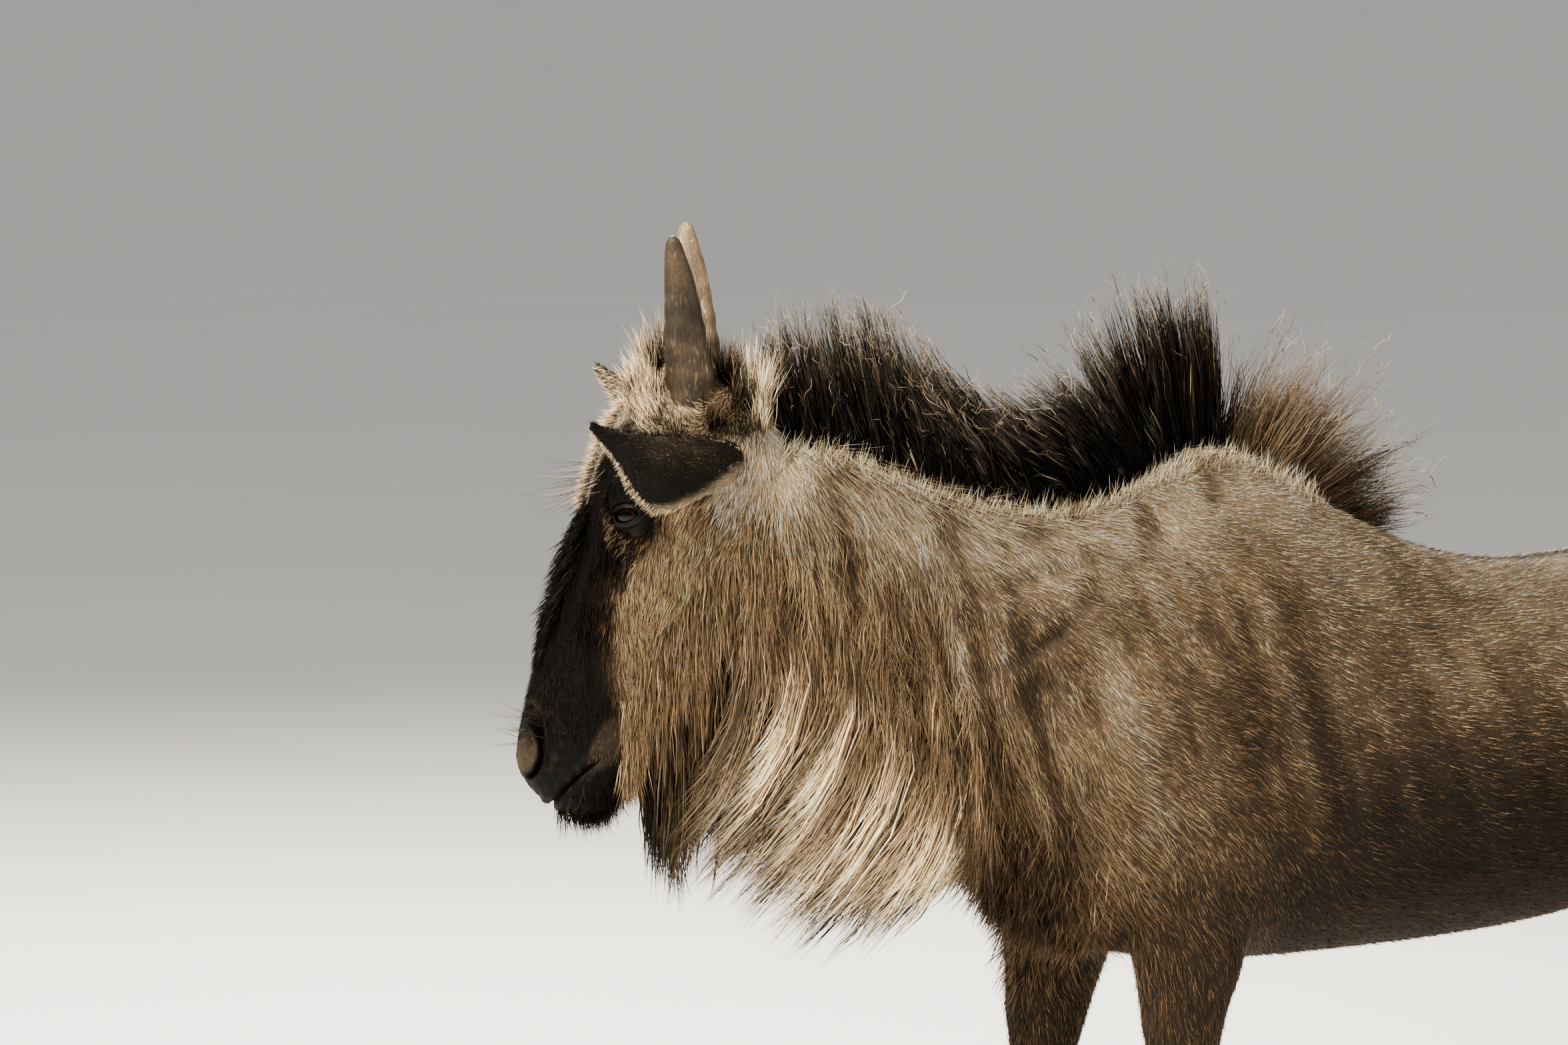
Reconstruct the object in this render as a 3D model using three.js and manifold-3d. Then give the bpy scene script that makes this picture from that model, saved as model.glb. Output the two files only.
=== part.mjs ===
// A wildebeest calf of about nine months, life size, standing still with its head turned to its right.
// Sizes are in millimetres. The animal faces -X, +Y is its right side, +Z is up, and it stands on Z = 0.
import * as THREE from "three";
import { mergeVertices } from "three/addons/utils/BufferGeometryUtils.js";
import Module from "manifold-3d";

const wasm = await Module();
wasm.setup();

// Driving sizes
const GAP = 0.3; // between two nodes that touch
const HEAD_TURN = -30.7; // degrees about the vertical, towards the right side
const HEAD_ROLL = 3.6; // degrees, right side up
const HEAD_PITCH = 62.6; // degrees that the long axis of the head points below the horizontal
const POLL = new THREE.Vector3(-450, 85, 1034); // top of the neck, behind the horns
const EYE_RADIUS = 17;
const LID_THICKNESS = 3;
const HORN_LENGTH = 170; // with the root
const EAR_LENGTH = 186;
const HOOF_HEIGHT = 50;
const CLAW_GAP = 5;
const TAIL_ROOT = new THREE.Vector3(716, 0, 838);

const { sin, cos, abs, sign, pow, PI, min, max, exp, floor, hypot } = Math;
const radians = (degrees) => (degrees * PI) / 180;

// Seeded draws, the same on every run
function seeded(seed) {
  let state = seed;
  return () => {
    state = (state + 0x6d2b79f5) | 0;
    let t = Math.imul(state ^ (state >>> 15), state | 1);
    t ^= t + Math.imul(t ^ (t >>> 7), t | 61);
    return ((t ^ (t >>> 14)) >>> 0) / 4294967296;
  };
}
const vector = (x, y, z) => new THREE.Vector3(x, y, z);
const mix = (a, b, t) => a + (b - a) * t;

// Smooth reading of a list of stations, each a set of named sizes, at a place counted in stations
function readStation(stations, place) {
  const i = min(floor(place), stations.length - 2);
  const t = place - i;
  const at = (k) => stations[max(0, min(stations.length - 1, k))];
  const [a, b, c, d] = [at(i - 1), at(i), at(i + 1), at(i + 2)];
  const curve = (p, q, r, s) =>
    0.5 * (2 * q + (r - p) * t + (2 * p - 5 * q + 4 * r - s) * t * t + (3 * q - p - 3 * r + s) * t * t * t);
  return Object.fromEntries(Object.keys(b).map((key) => [key, curve(a[key], b[key], c[key], d[key])]));
}

// Places spread evenly over a list of stations, so many to each
function spread(stations, steps) {
  const count = Math.round((stations.length - 1) * steps);
  return Array.from({ length: count + 1 }, (_, i) => (i / count) * (stations.length - 1));
}

// One closed ring of a section: half its width, its reach above and below its middle, and how square each is
function sectionRing({ middle, side, up, half, rise, drop, top = 2, bottom = 2 }, sides) {
  return Array.from({ length: sides }, (_, i) => {
    const angle = (2 * PI * (i + 0.5)) / sides;
    const [c, s] = [cos(angle), sin(angle)];
    const power = 2 / (s > 0 ? top : bottom);
    const across = half * sign(c) * pow(abs(c), power);
    const along = (s > 0 ? rise : drop) * sign(s) * pow(abs(s), power);
    return middle.clone().addScaledVector(side, across).addScaledVector(up, along);
  });
}

// Closed mesh over a row of rings, with a point in the middle of each end
function meshOfRings(rings) {
  const sides = rings[0].length;
  const points = rings.flat();
  const centre = (ring) => ring.reduce((sum, p) => sum.add(p), vector(0, 0, 0)).divideScalar(sides);
  points.push(centre(rings[0]), centre(rings.at(-1)));
  const [first, last] = [points.length - 2, points.length - 1];
  const faces = [];
  for (let i = 0; i < rings.length - 1; i++)
    for (let j = 0; j < sides; j++) {
      const k = (j + 1) % sides;
      const [a, b, c, d] = [i * sides + j, i * sides + k, (i + 1) * sides + k, (i + 1) * sides + j];
      faces.push([a, b, c], [a, c, d]);
    }
  for (let j = 0; j < sides; j++) {
    const k = (j + 1) % sides;
    faces.push([first, k, j], [last, (rings.length - 1) * sides + j, (rings.length - 1) * sides + k]);
  }
  return solidOfFaces(points, faces);
}

function solidOfFaces(points, faces) {
  let volume = 0;
  for (const [a, b, c] of faces) volume += points[a].dot(points[b].clone().cross(points[c]));
  const triVerts = new Uint32Array(faces.flatMap(([a, b, c]) => (volume < 0 ? [a, c, b] : [a, b, c])));
  const vertProperties = new Float32Array(points.flatMap((p) => [p.x, p.y, p.z]));
  return new wasm.Manifold(new wasm.Mesh({ numProp: 3, vertProperties, triVerts }));
}

// A three.js geometry, moved by a matrix, as a solid
function solidOfGeometry(geometry, matrix = new THREE.Matrix4()) {
  const bare = new THREE.BufferGeometry().setAttribute("position", geometry.getAttribute("position"));
  if (geometry.index) bare.setIndex(geometry.index);
  const merged = mergeVertices(bare.applyMatrix4(matrix), 1e-3);
  const triVerts = new Uint32Array(merged.index.array);
  return new wasm.Manifold(
    new wasm.Mesh({ numProp: 3, vertProperties: merged.attributes.position.array, triVerts }),
  );
}

function geometryOfSolid(solid) {
  const { numProp, numVert, vertProperties, triVerts } = solid.getMesh();
  const points = new Float32Array(numVert * 3);
  for (let i = 0; i < numVert; i++) points.set(vertProperties.subarray(i * numProp, i * numProp + 3), i * 3);
  const geometry = new THREE.BufferGeometry();
  geometry.setAttribute("position", new THREE.BufferAttribute(points, 3));
  geometry.setIndex(new THREE.BufferAttribute(triVerts, 1));
  geometry.computeVertexNormals();
  return geometry;
}

const joined = (solids) => solids.reduce((a, b) => a.add(b));
const largest = (solid) => solid.decompose().reduce((a, b) => (b.volume() > a.volume() ? b : a));

// A ball stretched to three radii
function ball(centre, radii, across = 16, high = 12) {
  const matrix = new THREE.Matrix4().makeTranslation(centre.x, centre.y, centre.z);
  return solidOfGeometry(new THREE.SphereGeometry(1, across, high).scale(...radii), matrix);
}

// A large slab on one side of a plane, for parting one node from the next
function halfSpace(point, normal, size = 3000) {
  const turn = new THREE.Quaternion().setFromUnitVectors(vector(0, 0, 1), normal.clone().normalize());
  const middle = point.clone().addScaledVector(normal.clone().normalize(), size / 2);
  const matrix = new THREE.Matrix4().compose(middle, turn, vector(1, 1, 1));
  return solidOfGeometry(new THREE.BoxGeometry(size, size, size), matrix);
}

// The two sides of a thin cut through a solid: behind the plane and ahead of it
function parted(solid, point, normal) {
  const step = normal.clone().normalize().multiplyScalar(GAP / 2);
  const ahead = solid.intersect(halfSpace(point.clone().add(step), normal));
  const behind = solid.intersect(halfSpace(point.clone().sub(step), normal.clone().negate()));
  return [behind, ahead];
}

// Torso: top and bottom of the outline, half the width, and how ridged the back and keel are
const torsoStations = [
  { x: -258, top: 722, bottom: 640, half: 26, ridge: 2, keel: 2, level: 0.5 },
  { x: -248, top: 790, bottom: 598, half: 60, ridge: 2, keel: 2, level: 0.5 },
  { x: -214, top: 860, bottom: 562, half: 88, ridge: 1.9, keel: 2, level: 0.48 },
  { x: -160, top: 932, bottom: 528, half: 121, ridge: 1.75, keel: 2, level: 0.47 },
  { x: -90, top: 992, bottom: 512, half: 138, ridge: 1.6, keel: 2.1, level: 0.46 },
  { x: -20, top: 1029, bottom: 502, half: 150, ridge: 1.55, keel: 2.1, level: 0.45 },
  { x: 50, top: 1011, bottom: 500, half: 157, ridge: 1.6, keel: 2.1, level: 0.45 },
  { x: 130, top: 962, bottom: 502, half: 168, ridge: 1.7, keel: 2.1, level: 0.45 },
  { x: 220, top: 920, bottom: 508, half: 180, ridge: 1.8, keel: 2.1, level: 0.45 },
  { x: 320, top: 900, bottom: 518, half: 187, ridge: 1.9, keel: 2.1, level: 0.45 },
  { x: 420, top: 902, bottom: 536, half: 184, ridge: 1.95, keel: 2.1, level: 0.47 },
  { x: 520, top: 914, bottom: 564, half: 172, ridge: 1.95, keel: 2, level: 0.5 },
  { x: 600, top: 913, bottom: 612, half: 158, ridge: 1.95, keel: 2, level: 0.5 },
  { x: 668, top: 890, bottom: 664, half: 132, ridge: 2, keel: 2, level: 0.5 },
  { x: 712, top: 856, bottom: 706, half: 96, ridge: 2, keel: 2, level: 0.5 },
  { x: 734, top: 818, bottom: 746, half: 42, ridge: 2, keel: 2, level: 0.5 },
];

// Neck: the middle of each section, half its depth and width, from inside the chest up to the head
const neckStations = [
  { x: -30, y: 0, z: 800, half: 110, rise: 190, drop: 215 },
  { x: -95, y: 0, z: 798, half: 128, rise: 188, drop: 236 },
  { x: -160, y: 3, z: 806, half: 117, rise: 171, drop: 214 },
  { x: -225, y: 15, z: 828, half: 101, rise: 148, drop: 188 },
  { x: -290, y: 35, z: 858, half: 89, rise: 135, drop: 166 },
  { x: -350, y: 58, z: 892, half: 80, rise: 127, drop: 160 },
  { x: -405, y: 82, z: 930, half: 76, rise: 116, drop: 154 },
  { x: -452, y: 108, z: 962, half: 66, rise: 84, drop: 136 },
  { x: -486, y: 128, z: 984, half: 44, rise: 50, drop: 92 },
];

// Head: places along its axis from the poll to the lips, the reach of the face and of the jaw, half the width
const headStations = [
  { s: -34, face: 74, jaw: 34, half: 22, bridge: 2, throat: 2, level: 0.5 },
  { s: -26, face: 100, jaw: 2, half: 46, bridge: 2, throat: 2, level: 0.5 },
  { s: -10, face: 113, jaw: -26, half: 60, bridge: 2.1, throat: 2, level: 0.55 },
  { s: 18, face: 121, jaw: -54, half: 67, bridge: 2.1, throat: 2, level: 0.58 },
  { s: 55, face: 125, jaw: -76, half: 69, bridge: 2.1, throat: 2, level: 0.6 },
  { s: 90, face: 124, jaw: -88, half: 67, bridge: 2.1, throat: 2, level: 0.6 },
  { s: 125, face: 119, jaw: -92, half: 64, bridge: 2, throat: 2, level: 0.56 },
  { s: 160, face: 110, jaw: -88, half: 60, bridge: 1.9, throat: 2, level: 0.5 },
  { s: 200, face: 102, jaw: -80, half: 53, bridge: 1.9, throat: 2, level: 0.48 },
  { s: 240, face: 97, jaw: -71, half: 46, bridge: 2, throat: 2, level: 0.5 },
  { s: 280, face: 92, jaw: -63, half: 42, bridge: 2.1, throat: 2.1, level: 0.52 },
  { s: 315, face: 86, jaw: -58, half: 42, bridge: 2.2, throat: 2.2, level: 0.54 },
  { s: 350, face: 77, jaw: -54, half: 46, bridge: 2.3, throat: 2.3, level: 0.56 },
  { s: 379, face: 69, jaw: -50, half: 47, bridge: 2.4, throat: 2.3, level: 0.58 },
  { s: 398, face: 59, jaw: -44, half: 43, bridge: 2.4, throat: 2.3, level: 0.58 },
  { s: 410, face: 42, jaw: -32, half: 34, bridge: 2.2, throat: 2.2, level: 0.55 },
  { s: 417, face: 22, jaw: -14, half: 17, bridge: 2, throat: 2, level: 0.5 },
];

// Swellings of the flesh over the plain outline of the head: place, reach and height, alike on both sides
const headSwellings = [
  { name: "brow", s: 100, y: 60, h: 82, reach: 26, height: 13 },
  { name: "eye rim", s: 122, y: 64, h: 62, reach: 22, height: 10 },
  { name: "temple hollow", s: 60, y: 70, h: 62, reach: 26, height: -6 },
  { name: "cheek muscle", s: 128, y: 58, h: -30, reach: 52, height: 9 },
  { name: "cheek bone", s: 165, y: 58, h: 34, reach: 26, height: 5 },
  { name: "hollow under the eye", s: 185, y: 50, h: 66, reach: 24, height: -6 },
  { name: "side of the nose", s: 250, y: 44, h: 40, reach: 34, height: -6 },
  { name: "nostril wing", s: 366, y: 44, h: 40, reach: 18, height: 9 },
  { name: "upper lip", s: 386, y: 34, h: 14, reach: 20, height: 6 },
  { name: "forehead", s: 60, y: 0, h: 125, reach: 46, height: 5 },
];

// Swellings of the body: shoulder blades, shoulder points, haunches, hip bones, and the hollows between them
const bodySwellings = [
  { name: "shoulder blade", x: -60, y: 120, z: 830, reach: 120, height: 14 },
  { name: "point of the shoulder", x: -175, y: 100, z: 640, reach: 70, height: 12 },
  { name: "upper arm", x: -70, y: 120, z: 640, reach: 95, height: 18 },
  { name: "hollow behind the shoulder", x: 75, y: 160, z: 760, reach: 70, height: -9 },
  { name: "flank hollow", x: 455, y: 170, z: 790, reach: 75, height: -14 },
  { name: "hip bone", x: 520, y: 90, z: 900, reach: 45, height: 9 },
  { name: "thigh", x: 590, y: 130, z: 720, reach: 105, height: 16 },
  { name: "brisket", x: -225, y: 0, z: 560, reach: 60, height: 12 },
  { name: "spine dip", x: 300, y: 0, z: 900, reach: 110, height: -4 },
];

// A leg: middle of each section, half its size front to back and side to side, from inside the body down
const foreLeg = [
  { x: -52, y: 84, z: 730, deep: 74, half: 30 },
  { x: -54, y: 80, z: 660, deep: 88, half: 38 },
  { x: -58, y: 83, z: 590, deep: 80, half: 44 },
  { x: -60, y: 83, z: 535, deep: 68, half: 44 },
  { x: -62, y: 80, z: 480, deep: 54, half: 38 },
  { x: -64, y: 78, z: 420, deep: 41, half: 32 },
  { x: -66, y: 77, z: 360, deep: 31, half: 27 },
  { x: -68, y: 76, z: 318, deep: 30, half: 28.5 },
  { x: -69, y: 76, z: 290, deep: 28, half: 27 },
  { x: -66, y: 76, z: 255, deep: 20, half: 19.5 },
  { x: -64, y: 75, z: 200, deep: 17.5, half: 16 },
  { x: -63, y: 75, z: 148, deep: 18.5, half: 17 },
  { x: -64, y: 75, z: 116, deep: 25, half: 23.5 },
  { x: -70, y: 75, z: 90, deep: 22.5, half: 22 },
  { x: -78, y: 75, z: 68, deep: 21, half: 22.5 },
  { x: -86, y: 75, z: HOOF_HEIGHT + GAP, deep: 27, half: 27.5 },
];
const hindLeg = [
  { x: 590, y: 78, z: 850, deep: 90, half: 34 },
  { x: 584, y: 92, z: 780, deep: 112, half: 46 },
  { x: 568, y: 98, z: 700, deep: 122, half: 52 },
  { x: 556, y: 98, z: 620, deep: 108, half: 54 },
  { x: 568, y: 94, z: 545, deep: 84, half: 45 },
  { x: 596, y: 90, z: 475, deep: 56, half: 35 },
  { x: 628, y: 87, z: 415, deep: 40, half: 28 },
  { x: 648, y: 85, z: 372, deep: 36, half: 26 },
  { x: 652, y: 84, z: 335, deep: 30, half: 24 },
  { x: 646, y: 83, z: 290, deep: 22, half: 19.5 },
  { x: 638, y: 82, z: 220, deep: 19.5, half: 17 },
  { x: 631, y: 81, z: 152, deep: 20, half: 18 },
  { x: 626, y: 80, z: 117, deep: 26, half: 24 },
  { x: 617, y: 80, z: 90, deep: 22.5, half: 22 },
  { x: 608, y: 80, z: 68, deep: 21, half: 22.5 },
  { x: 599, y: 80, z: HOOF_HEIGHT + GAP, deep: 27, half: 27.5 },
];

// Each foot: which side, how far forward it is set at the ground and at the top, and where it is parted
const legs = [
  { name: "foreleg_left", stations: foreLeg, side: -1, step: 0, swing: 0, joint: 304 },
  { name: "foreleg_right", stations: foreLeg, side: 1, step: -120, swing: -24, joint: 304 },
  { name: "hindleg_left", stations: hindLeg, side: -1, step: 22, swing: 0, joint: 356 },
  { name: "hindleg_right", stations: hindLeg, side: 1, step: -58, swing: -8, joint: 356 },
];

// A point of the head from its own measures: s along its axis, y to its right, h towards the face
const headPlacement = new THREE.Matrix4().compose(
  POLL,
  new THREE.Quaternion().setFromEuler(new THREE.Euler(radians(HEAD_ROLL), 0, radians(HEAD_TURN), "ZYX")),
  vector(1, 1, 1),
);
const [axisForward, axisDown] = [cos(radians(HEAD_PITCH)), sin(radians(HEAD_PITCH))];
function headPoint(s, y, h) {
  const forward = s * axisForward + h * axisDown;
  const height = h * axisForward - s * axisDown;
  return vector(-forward, y, height).applyMatrix4(headPlacement);
}
const headOrigin = headPoint(0, 0, 0);
const headDirection = (s, y, h) => headPoint(s, y, h).sub(headOrigin).normalize();

function torsoSolid(grow, steps, sides) {
  const places = spread(torsoStations, steps);
  const count = places.length - 1;
  const rings = places.map((place, i) => {
    const { x, top, bottom, half, ridge, keel, level } = readStation(torsoStations, place);
    const z = mix(bottom, top, level);
    const end = i === 0 ? -1 : i === count ? 1 : 0;
    const middle = vector(x + grow * end, 0, z);
    const ring = sectionRing(
      {
        middle,
        side: vector(0, 1, 0),
        up: vector(0, 0, 1),
        half: half + grow,
        rise: top - z + grow,
        drop: z - bottom + grow,
        top: ridge,
        bottom: keel,
      },
      sides,
    );
    return swollen(ring, middle, bodySwellings, (swelling, y) => vector(swelling.x, y, swelling.z));
  });
  return meshOfRings(rings);
}

function neckSolid(grow, steps, sides) {
  const middleAt = (place) => {
    const { x, y, z } = readStation(neckStations, place);
    return vector(x, y, z);
  };
  const rings = spread(neckStations, steps).map((place) => {
    const { half, rise, drop } = readStation(neckStations, place);
    const ahead = middleAt(min(place + 0.1, neckStations.length - 1));
    const along = ahead.sub(middleAt(max(place - 0.1, 0))).normalize();
    const side = vector(0, 0, 1).cross(along).normalize();
    const up = along.clone().cross(side).normalize();
    return sectionRing(
      {
        middle: middleAt(place),
        side,
        up,
        half: half + grow,
        rise: rise + grow,
        drop: drop + grow,
        top: 1.75,
        bottom: 1.9,
      },
      sides,
    );
  });
  return meshOfRings(rings);
}

function headSolid(grow, steps, sides) {
  const side = headDirection(0, 1, 0);
  const up = headDirection(0, 0, 1);
  const rings = spread(headStations, steps).map((place) => {
    const { s, face, jaw, half, bridge, throat, level } = readStation(headStations, place);
    const h = mix(jaw, face, level);
    const middle = headPoint(s, 0, h);
    const ring = sectionRing(
      {
        middle,
        side,
        up,
        half: half + grow,
        rise: face - h + grow,
        drop: h - jaw + grow,
        top: bridge,
        bottom: throat,
      },
      sides,
    );
    return swollen(ring, middle, headSwellings, ({ s, h }, y) => headPoint(s, y, h));
  });
  return meshOfRings(rings);
}

// Each point of a ring moved out or in by the swellings near it, on both sides of the middle
function swollen(ring, middle, swellings, placeOf) {
  return ring.map((point) => {
    const out = point.clone().sub(middle).normalize();
    for (const swelling of swellings)
      for (const y of swelling.y ? [-swelling.y, swelling.y] : [0]) {
        const away = point.distanceTo(placeOf(swelling, y)) / swelling.reach;
        point.addScaledVector(out, swelling.height * exp(-away * away));
      }
    return point;
  });
}

// The leg's stations with its side, its step at the ground and its swing at the top
function legStations({ stations, side, step, swing }) {
  const [top, ground] = [stations[0].z, 0];
  return stations.map(({ x, y, z, deep, half }) => {
    const lowered = (top - z) / (top - ground);
    return { x: x + mix(swing, step, pow(lowered, 0.8)), y: y * side, z, deep, half };
  });
}

function legSolid(leg, steps, sides, grow = 0) {
  const stations = legStations(leg);
  const rings = spread(stations, steps).map((place) => {
    const { x, y, z, deep, half } = readStation(stations, place);
    return sectionRing(
      {
        middle: vector(x, y, z),
        side: vector(1, 0, 0),
        up: vector(0, 1, 0),
        half: deep + grow,
        rise: half + grow,
        drop: half + grow,
        top: 2.1,
        bottom: 2.1,
      },
      sides,
    );
  });
  return meshOfRings(rings);
}

// Half a hoof: an outline with a straight inner wall, wider at the ground, under the foot at x, y
function clawSolid(x, y, outward) {
  const sides = 12;
  const levels = [
    { z: 0, toe: 58, heel: 30, out: 33, lean: 0 },
    { z: 10, toe: 56, heel: 31, out: 32, lean: 0 },
    { z: 34, toe: 42, heel: 29, out: 28, lean: 2 },
    { z: HOOF_HEIGHT, toe: 31, heel: 26, out: 25.5, lean: 4 },
  ];
  const rings = levels.map(({ z, toe, heel, out, lean }) =>
    Array.from({ length: sides }, (_, i) => {
      const angle = (2 * PI * i) / sides;
      const long = cos(angle) > 0 ? toe : heel;
      const across = sin(angle) > 0 ? out : 0;
      const point = pow(abs(cos(angle)), 1.25) * sign(cos(angle));
      const round = pow(abs(sin(angle)), 0.75);
      const inner = CLAW_GAP / 2;
      return vector(x - long * point + lean, y + outward * (inner + across * round * (cos(angle) > 0.8 ? 0.8 : 1)), z);
    }),
  );
  return meshOfRings(rings);
}

// A dew claw behind the fetlock
function dewClaw(x, y, z, outward) {
  return ball(vector(x + 24, y + outward * 13, z), [11, 8, 13], 6, 4);
}

const hornStations = [
  { t: 0, half: 22, back: 0 },
  { t: 0.15, half: 22, back: 0 },
  { t: 0.35, half: 19.5, back: 0 },
  { t: 0.55, half: 16.5, back: -1 },
  { t: 0.75, half: 13, back: -1 },
  { t: 0.9, half: 9, back: 0 },
  { t: 0.97, half: 6, back: 0 },
  { t: 1, half: 2, back: 0 },
];
function hornSolid(side, sides = 9, steps = 2) {
  const root = headPoint(-2, side * 38, 62);
  const tipDirection = vector(-0.1, side * 0.115, 1).normalize().transformDirection(headPlacement);
  const outward = headDirection(0, side, 0);
  const along = tipDirection;
  const across = outward.clone().addScaledVector(along, -outward.dot(along)).normalize();
  const back = along.clone().cross(across).normalize().multiplyScalar(side);
  const count = (hornStations.length - 1) * steps;
  const rings = Array.from({ length: count + 1 }, (_, i) => {
    const { t, half, back: bow } = readStation(hornStations, i / steps);
    const ridge = i % 2 ? 0.5 : -0.3;
    const middle = root.clone().addScaledVector(along, t * HORN_LENGTH).addScaledVector(back, bow);
    return sectionRing(
      { middle, side: across, up: back, half: half + ridge, rise: half * 1.08 + ridge, drop: half * 1.08 + ridge },
      sides,
    );
  });
  return meshOfRings(rings);
}

// Ear: half width of the leaf and how far it wraps round, from the root to the tip
const earStations = [
  { t: 0, half: 19, wrap: 150, lift: 4 },
  { t: 0.14, half: 27, wrap: 118, lift: 0 },
  { t: 0.32, half: 35, wrap: 88, lift: -8 },
  { t: 0.5, half: 38, wrap: 70, lift: -12 },
  { t: 0.66, half: 31, wrap: 60, lift: -9 },
  { t: 0.8, half: 21, wrap: 52, lift: -4 },
  { t: 0.91, half: 11, wrap: 44, lift: -1 },
  { t: 1, half: 4, wrap: 30, lift: 0 },
];
const ears = [
  { name: "ear_left", side: -1, tip: [127, 117, 40] },
  { name: "ear_right", side: 1, tip: [170, 62, 60] },
];
function earSolid({ side, tip }, thickness = 4, steps = 1, across = 6) {
  const root = headPoint(22, side * 60, -4);
  const along = vector(-tip[0], side * tip[1], tip[2]).transformDirection(headPlacement);
  const upward = vector(0, 0, 1).addScaledVector(along, -along.z).normalize();
  const opening = along.clone().cross(upward).normalize().multiplyScalar(-side);
  const count = (earStations.length - 1) * steps;
  const front = [];
  const back = [];
  for (let i = 0; i <= count; i++) {
    const { t, half, wrap, lift } = readStation(earStations, i / steps);
    const turn = radians(wrap);
    const radius = half / sin(min(turn, PI / 2));
    for (let j = 0; j <= across; j++) {
      const angle = mix(-turn, turn, j / across);
      const low = j < across / 2 ? 1.25 : 0.72;
      const thick = thickness * (0.35 + 0.65 * cos((angle / turn) * (PI / 2)));
      const at = (r) =>
        root
          .clone()
          .addScaledVector(along, t * EAR_LENGTH)
          .addScaledVector(upward, r * sin(angle) * low + lift)
          .addScaledVector(opening, radius * 0.55 - r * cos(angle));
      front.push(at(radius - thick / 2));
      back.push(at(radius + thick / 2));
    }
  }
  return leafSolid(front, back, count, across);
}

// Closed shell between two like grids of points
function leafSolid(front, back, rows, columns) {
  const points = [...front, ...back];
  const second = front.length;
  const at = (i, j) => i * (columns + 1) + j;
  const faces = [];
  const quad = (a, b, c, d) => faces.push([a, b, c], [a, c, d]);
  for (let i = 0; i < rows; i++)
    for (let j = 0; j < columns; j++) {
      const [a, b, c, d] = [at(i, j), at(i, j + 1), at(i + 1, j + 1), at(i + 1, j)];
      faces.push([a, b, c], [a, c, d], [a + second, c + second, b + second], [a + second, d + second, c + second]);
    }
  for (let i = 0; i < rows; i++) {
    quad(at(i, 0), at(i + 1, 0), at(i + 1, 0) + second, at(i, 0) + second);
    quad(at(i + 1, columns), at(i, columns), at(i, columns) + second, at(i + 1, columns) + second);
  }
  for (let j = 0; j < columns; j++) {
    quad(at(0, j + 1), at(0, j), at(0, j) + second, at(0, j + 1) + second);
    quad(at(rows, j), at(rows, j + 1), at(rows, j + 1) + second, at(rows, j) + second);
  }
  return solidOfFaces(points, faces);
}

// Tail: the dock hangs behind the rump
const tailStations = [
  { x: -30, z: 4, half: 20 },
  { x: 10, z: 0, half: 19 },
  { x: 38, z: -24, half: 17.5 },
  { x: 52, z: -66, half: 15.5 },
  { x: 58, z: -120, half: 13.5 },
  { x: 60, z: -180, half: 11.5 },
  { x: 60, z: -240, half: 10 },
  { x: 59, z: -292, half: 7 },
];
function tailSolid(grow = 0, sides = 10, steps = 2) {
  const middleAt = (place) => {
    const { x, z } = readStation(tailStations, place);
    return vector(TAIL_ROOT.x + x, 0, TAIL_ROOT.z + z);
  };
  const count = (tailStations.length - 1) * steps;
  const rings = Array.from({ length: count + 1 }, (_, i) => {
    const place = i / steps;
    const { half } = readStation(tailStations, place);
    const ahead = middleAt(min(place + 0.1, tailStations.length - 1));
    const along = ahead.sub(middleAt(max(place - 0.1, 0))).normalize();
    const side = vector(0, 1, 0);
    const up = along.clone().cross(side).normalize();
    const size = half + grow;
    return sectionRing({ middle: middleAt(place), side, up, half: size, rise: size, drop: size }, sides);
  });
  return meshOfRings(rings);
}

// Long hair: flat tapered locks. Each leaves its root in one direction and arrives at its tip in another.
const lockSizes = [0.8, 1, 0.92, 0.64];
function lockSolid({ root, leave, arrive, tip, width, thickness, across }) {
  const points = [];
  const reach = root.distanceTo(tip) / 3;
  const first = root.clone().addScaledVector(leave.clone().normalize(), reach);
  const second = tip.clone().addScaledVector(arrive.clone().normalize(), -reach);
  const curve = new THREE.CubicBezierCurve3(root, first, second, tip);
  lockSizes.forEach((size, k) => {
    const t = k / lockSizes.length;
    const along = curve.getTangent(t);
    const flat = across.clone().addScaledVector(along, -across.dot(along)).normalize();
    const thin = along.clone().cross(flat);
    const middle = curve.getPoint(t);
    points.push(
      middle.clone().addScaledVector(flat, (size * width) / 2),
      middle.clone().addScaledVector(thin, (size * thickness) / 2),
      middle.clone().addScaledVector(flat, (-size * width) / 2),
      middle.clone().addScaledVector(thin, (-size * thickness) / 2),
    );
  });
  const last = points.length;
  points.push(tip);
  const faces = [
    [0, 2, 1],
    [0, 3, 2],
  ];
  for (let k = 0; k < lockSizes.length; k++)
    for (let j = 0; j < 4; j++) {
      const [a, b] = [k * 4 + j, k * 4 + ((j + 1) % 4)];
      if (k === lockSizes.length - 1) faces.push([a, b, last]);
      else faces.push([a, b, b + 4], [a, b + 4, a + 4]);
    }
  return solidOfFaces(points, faces);
}

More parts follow.
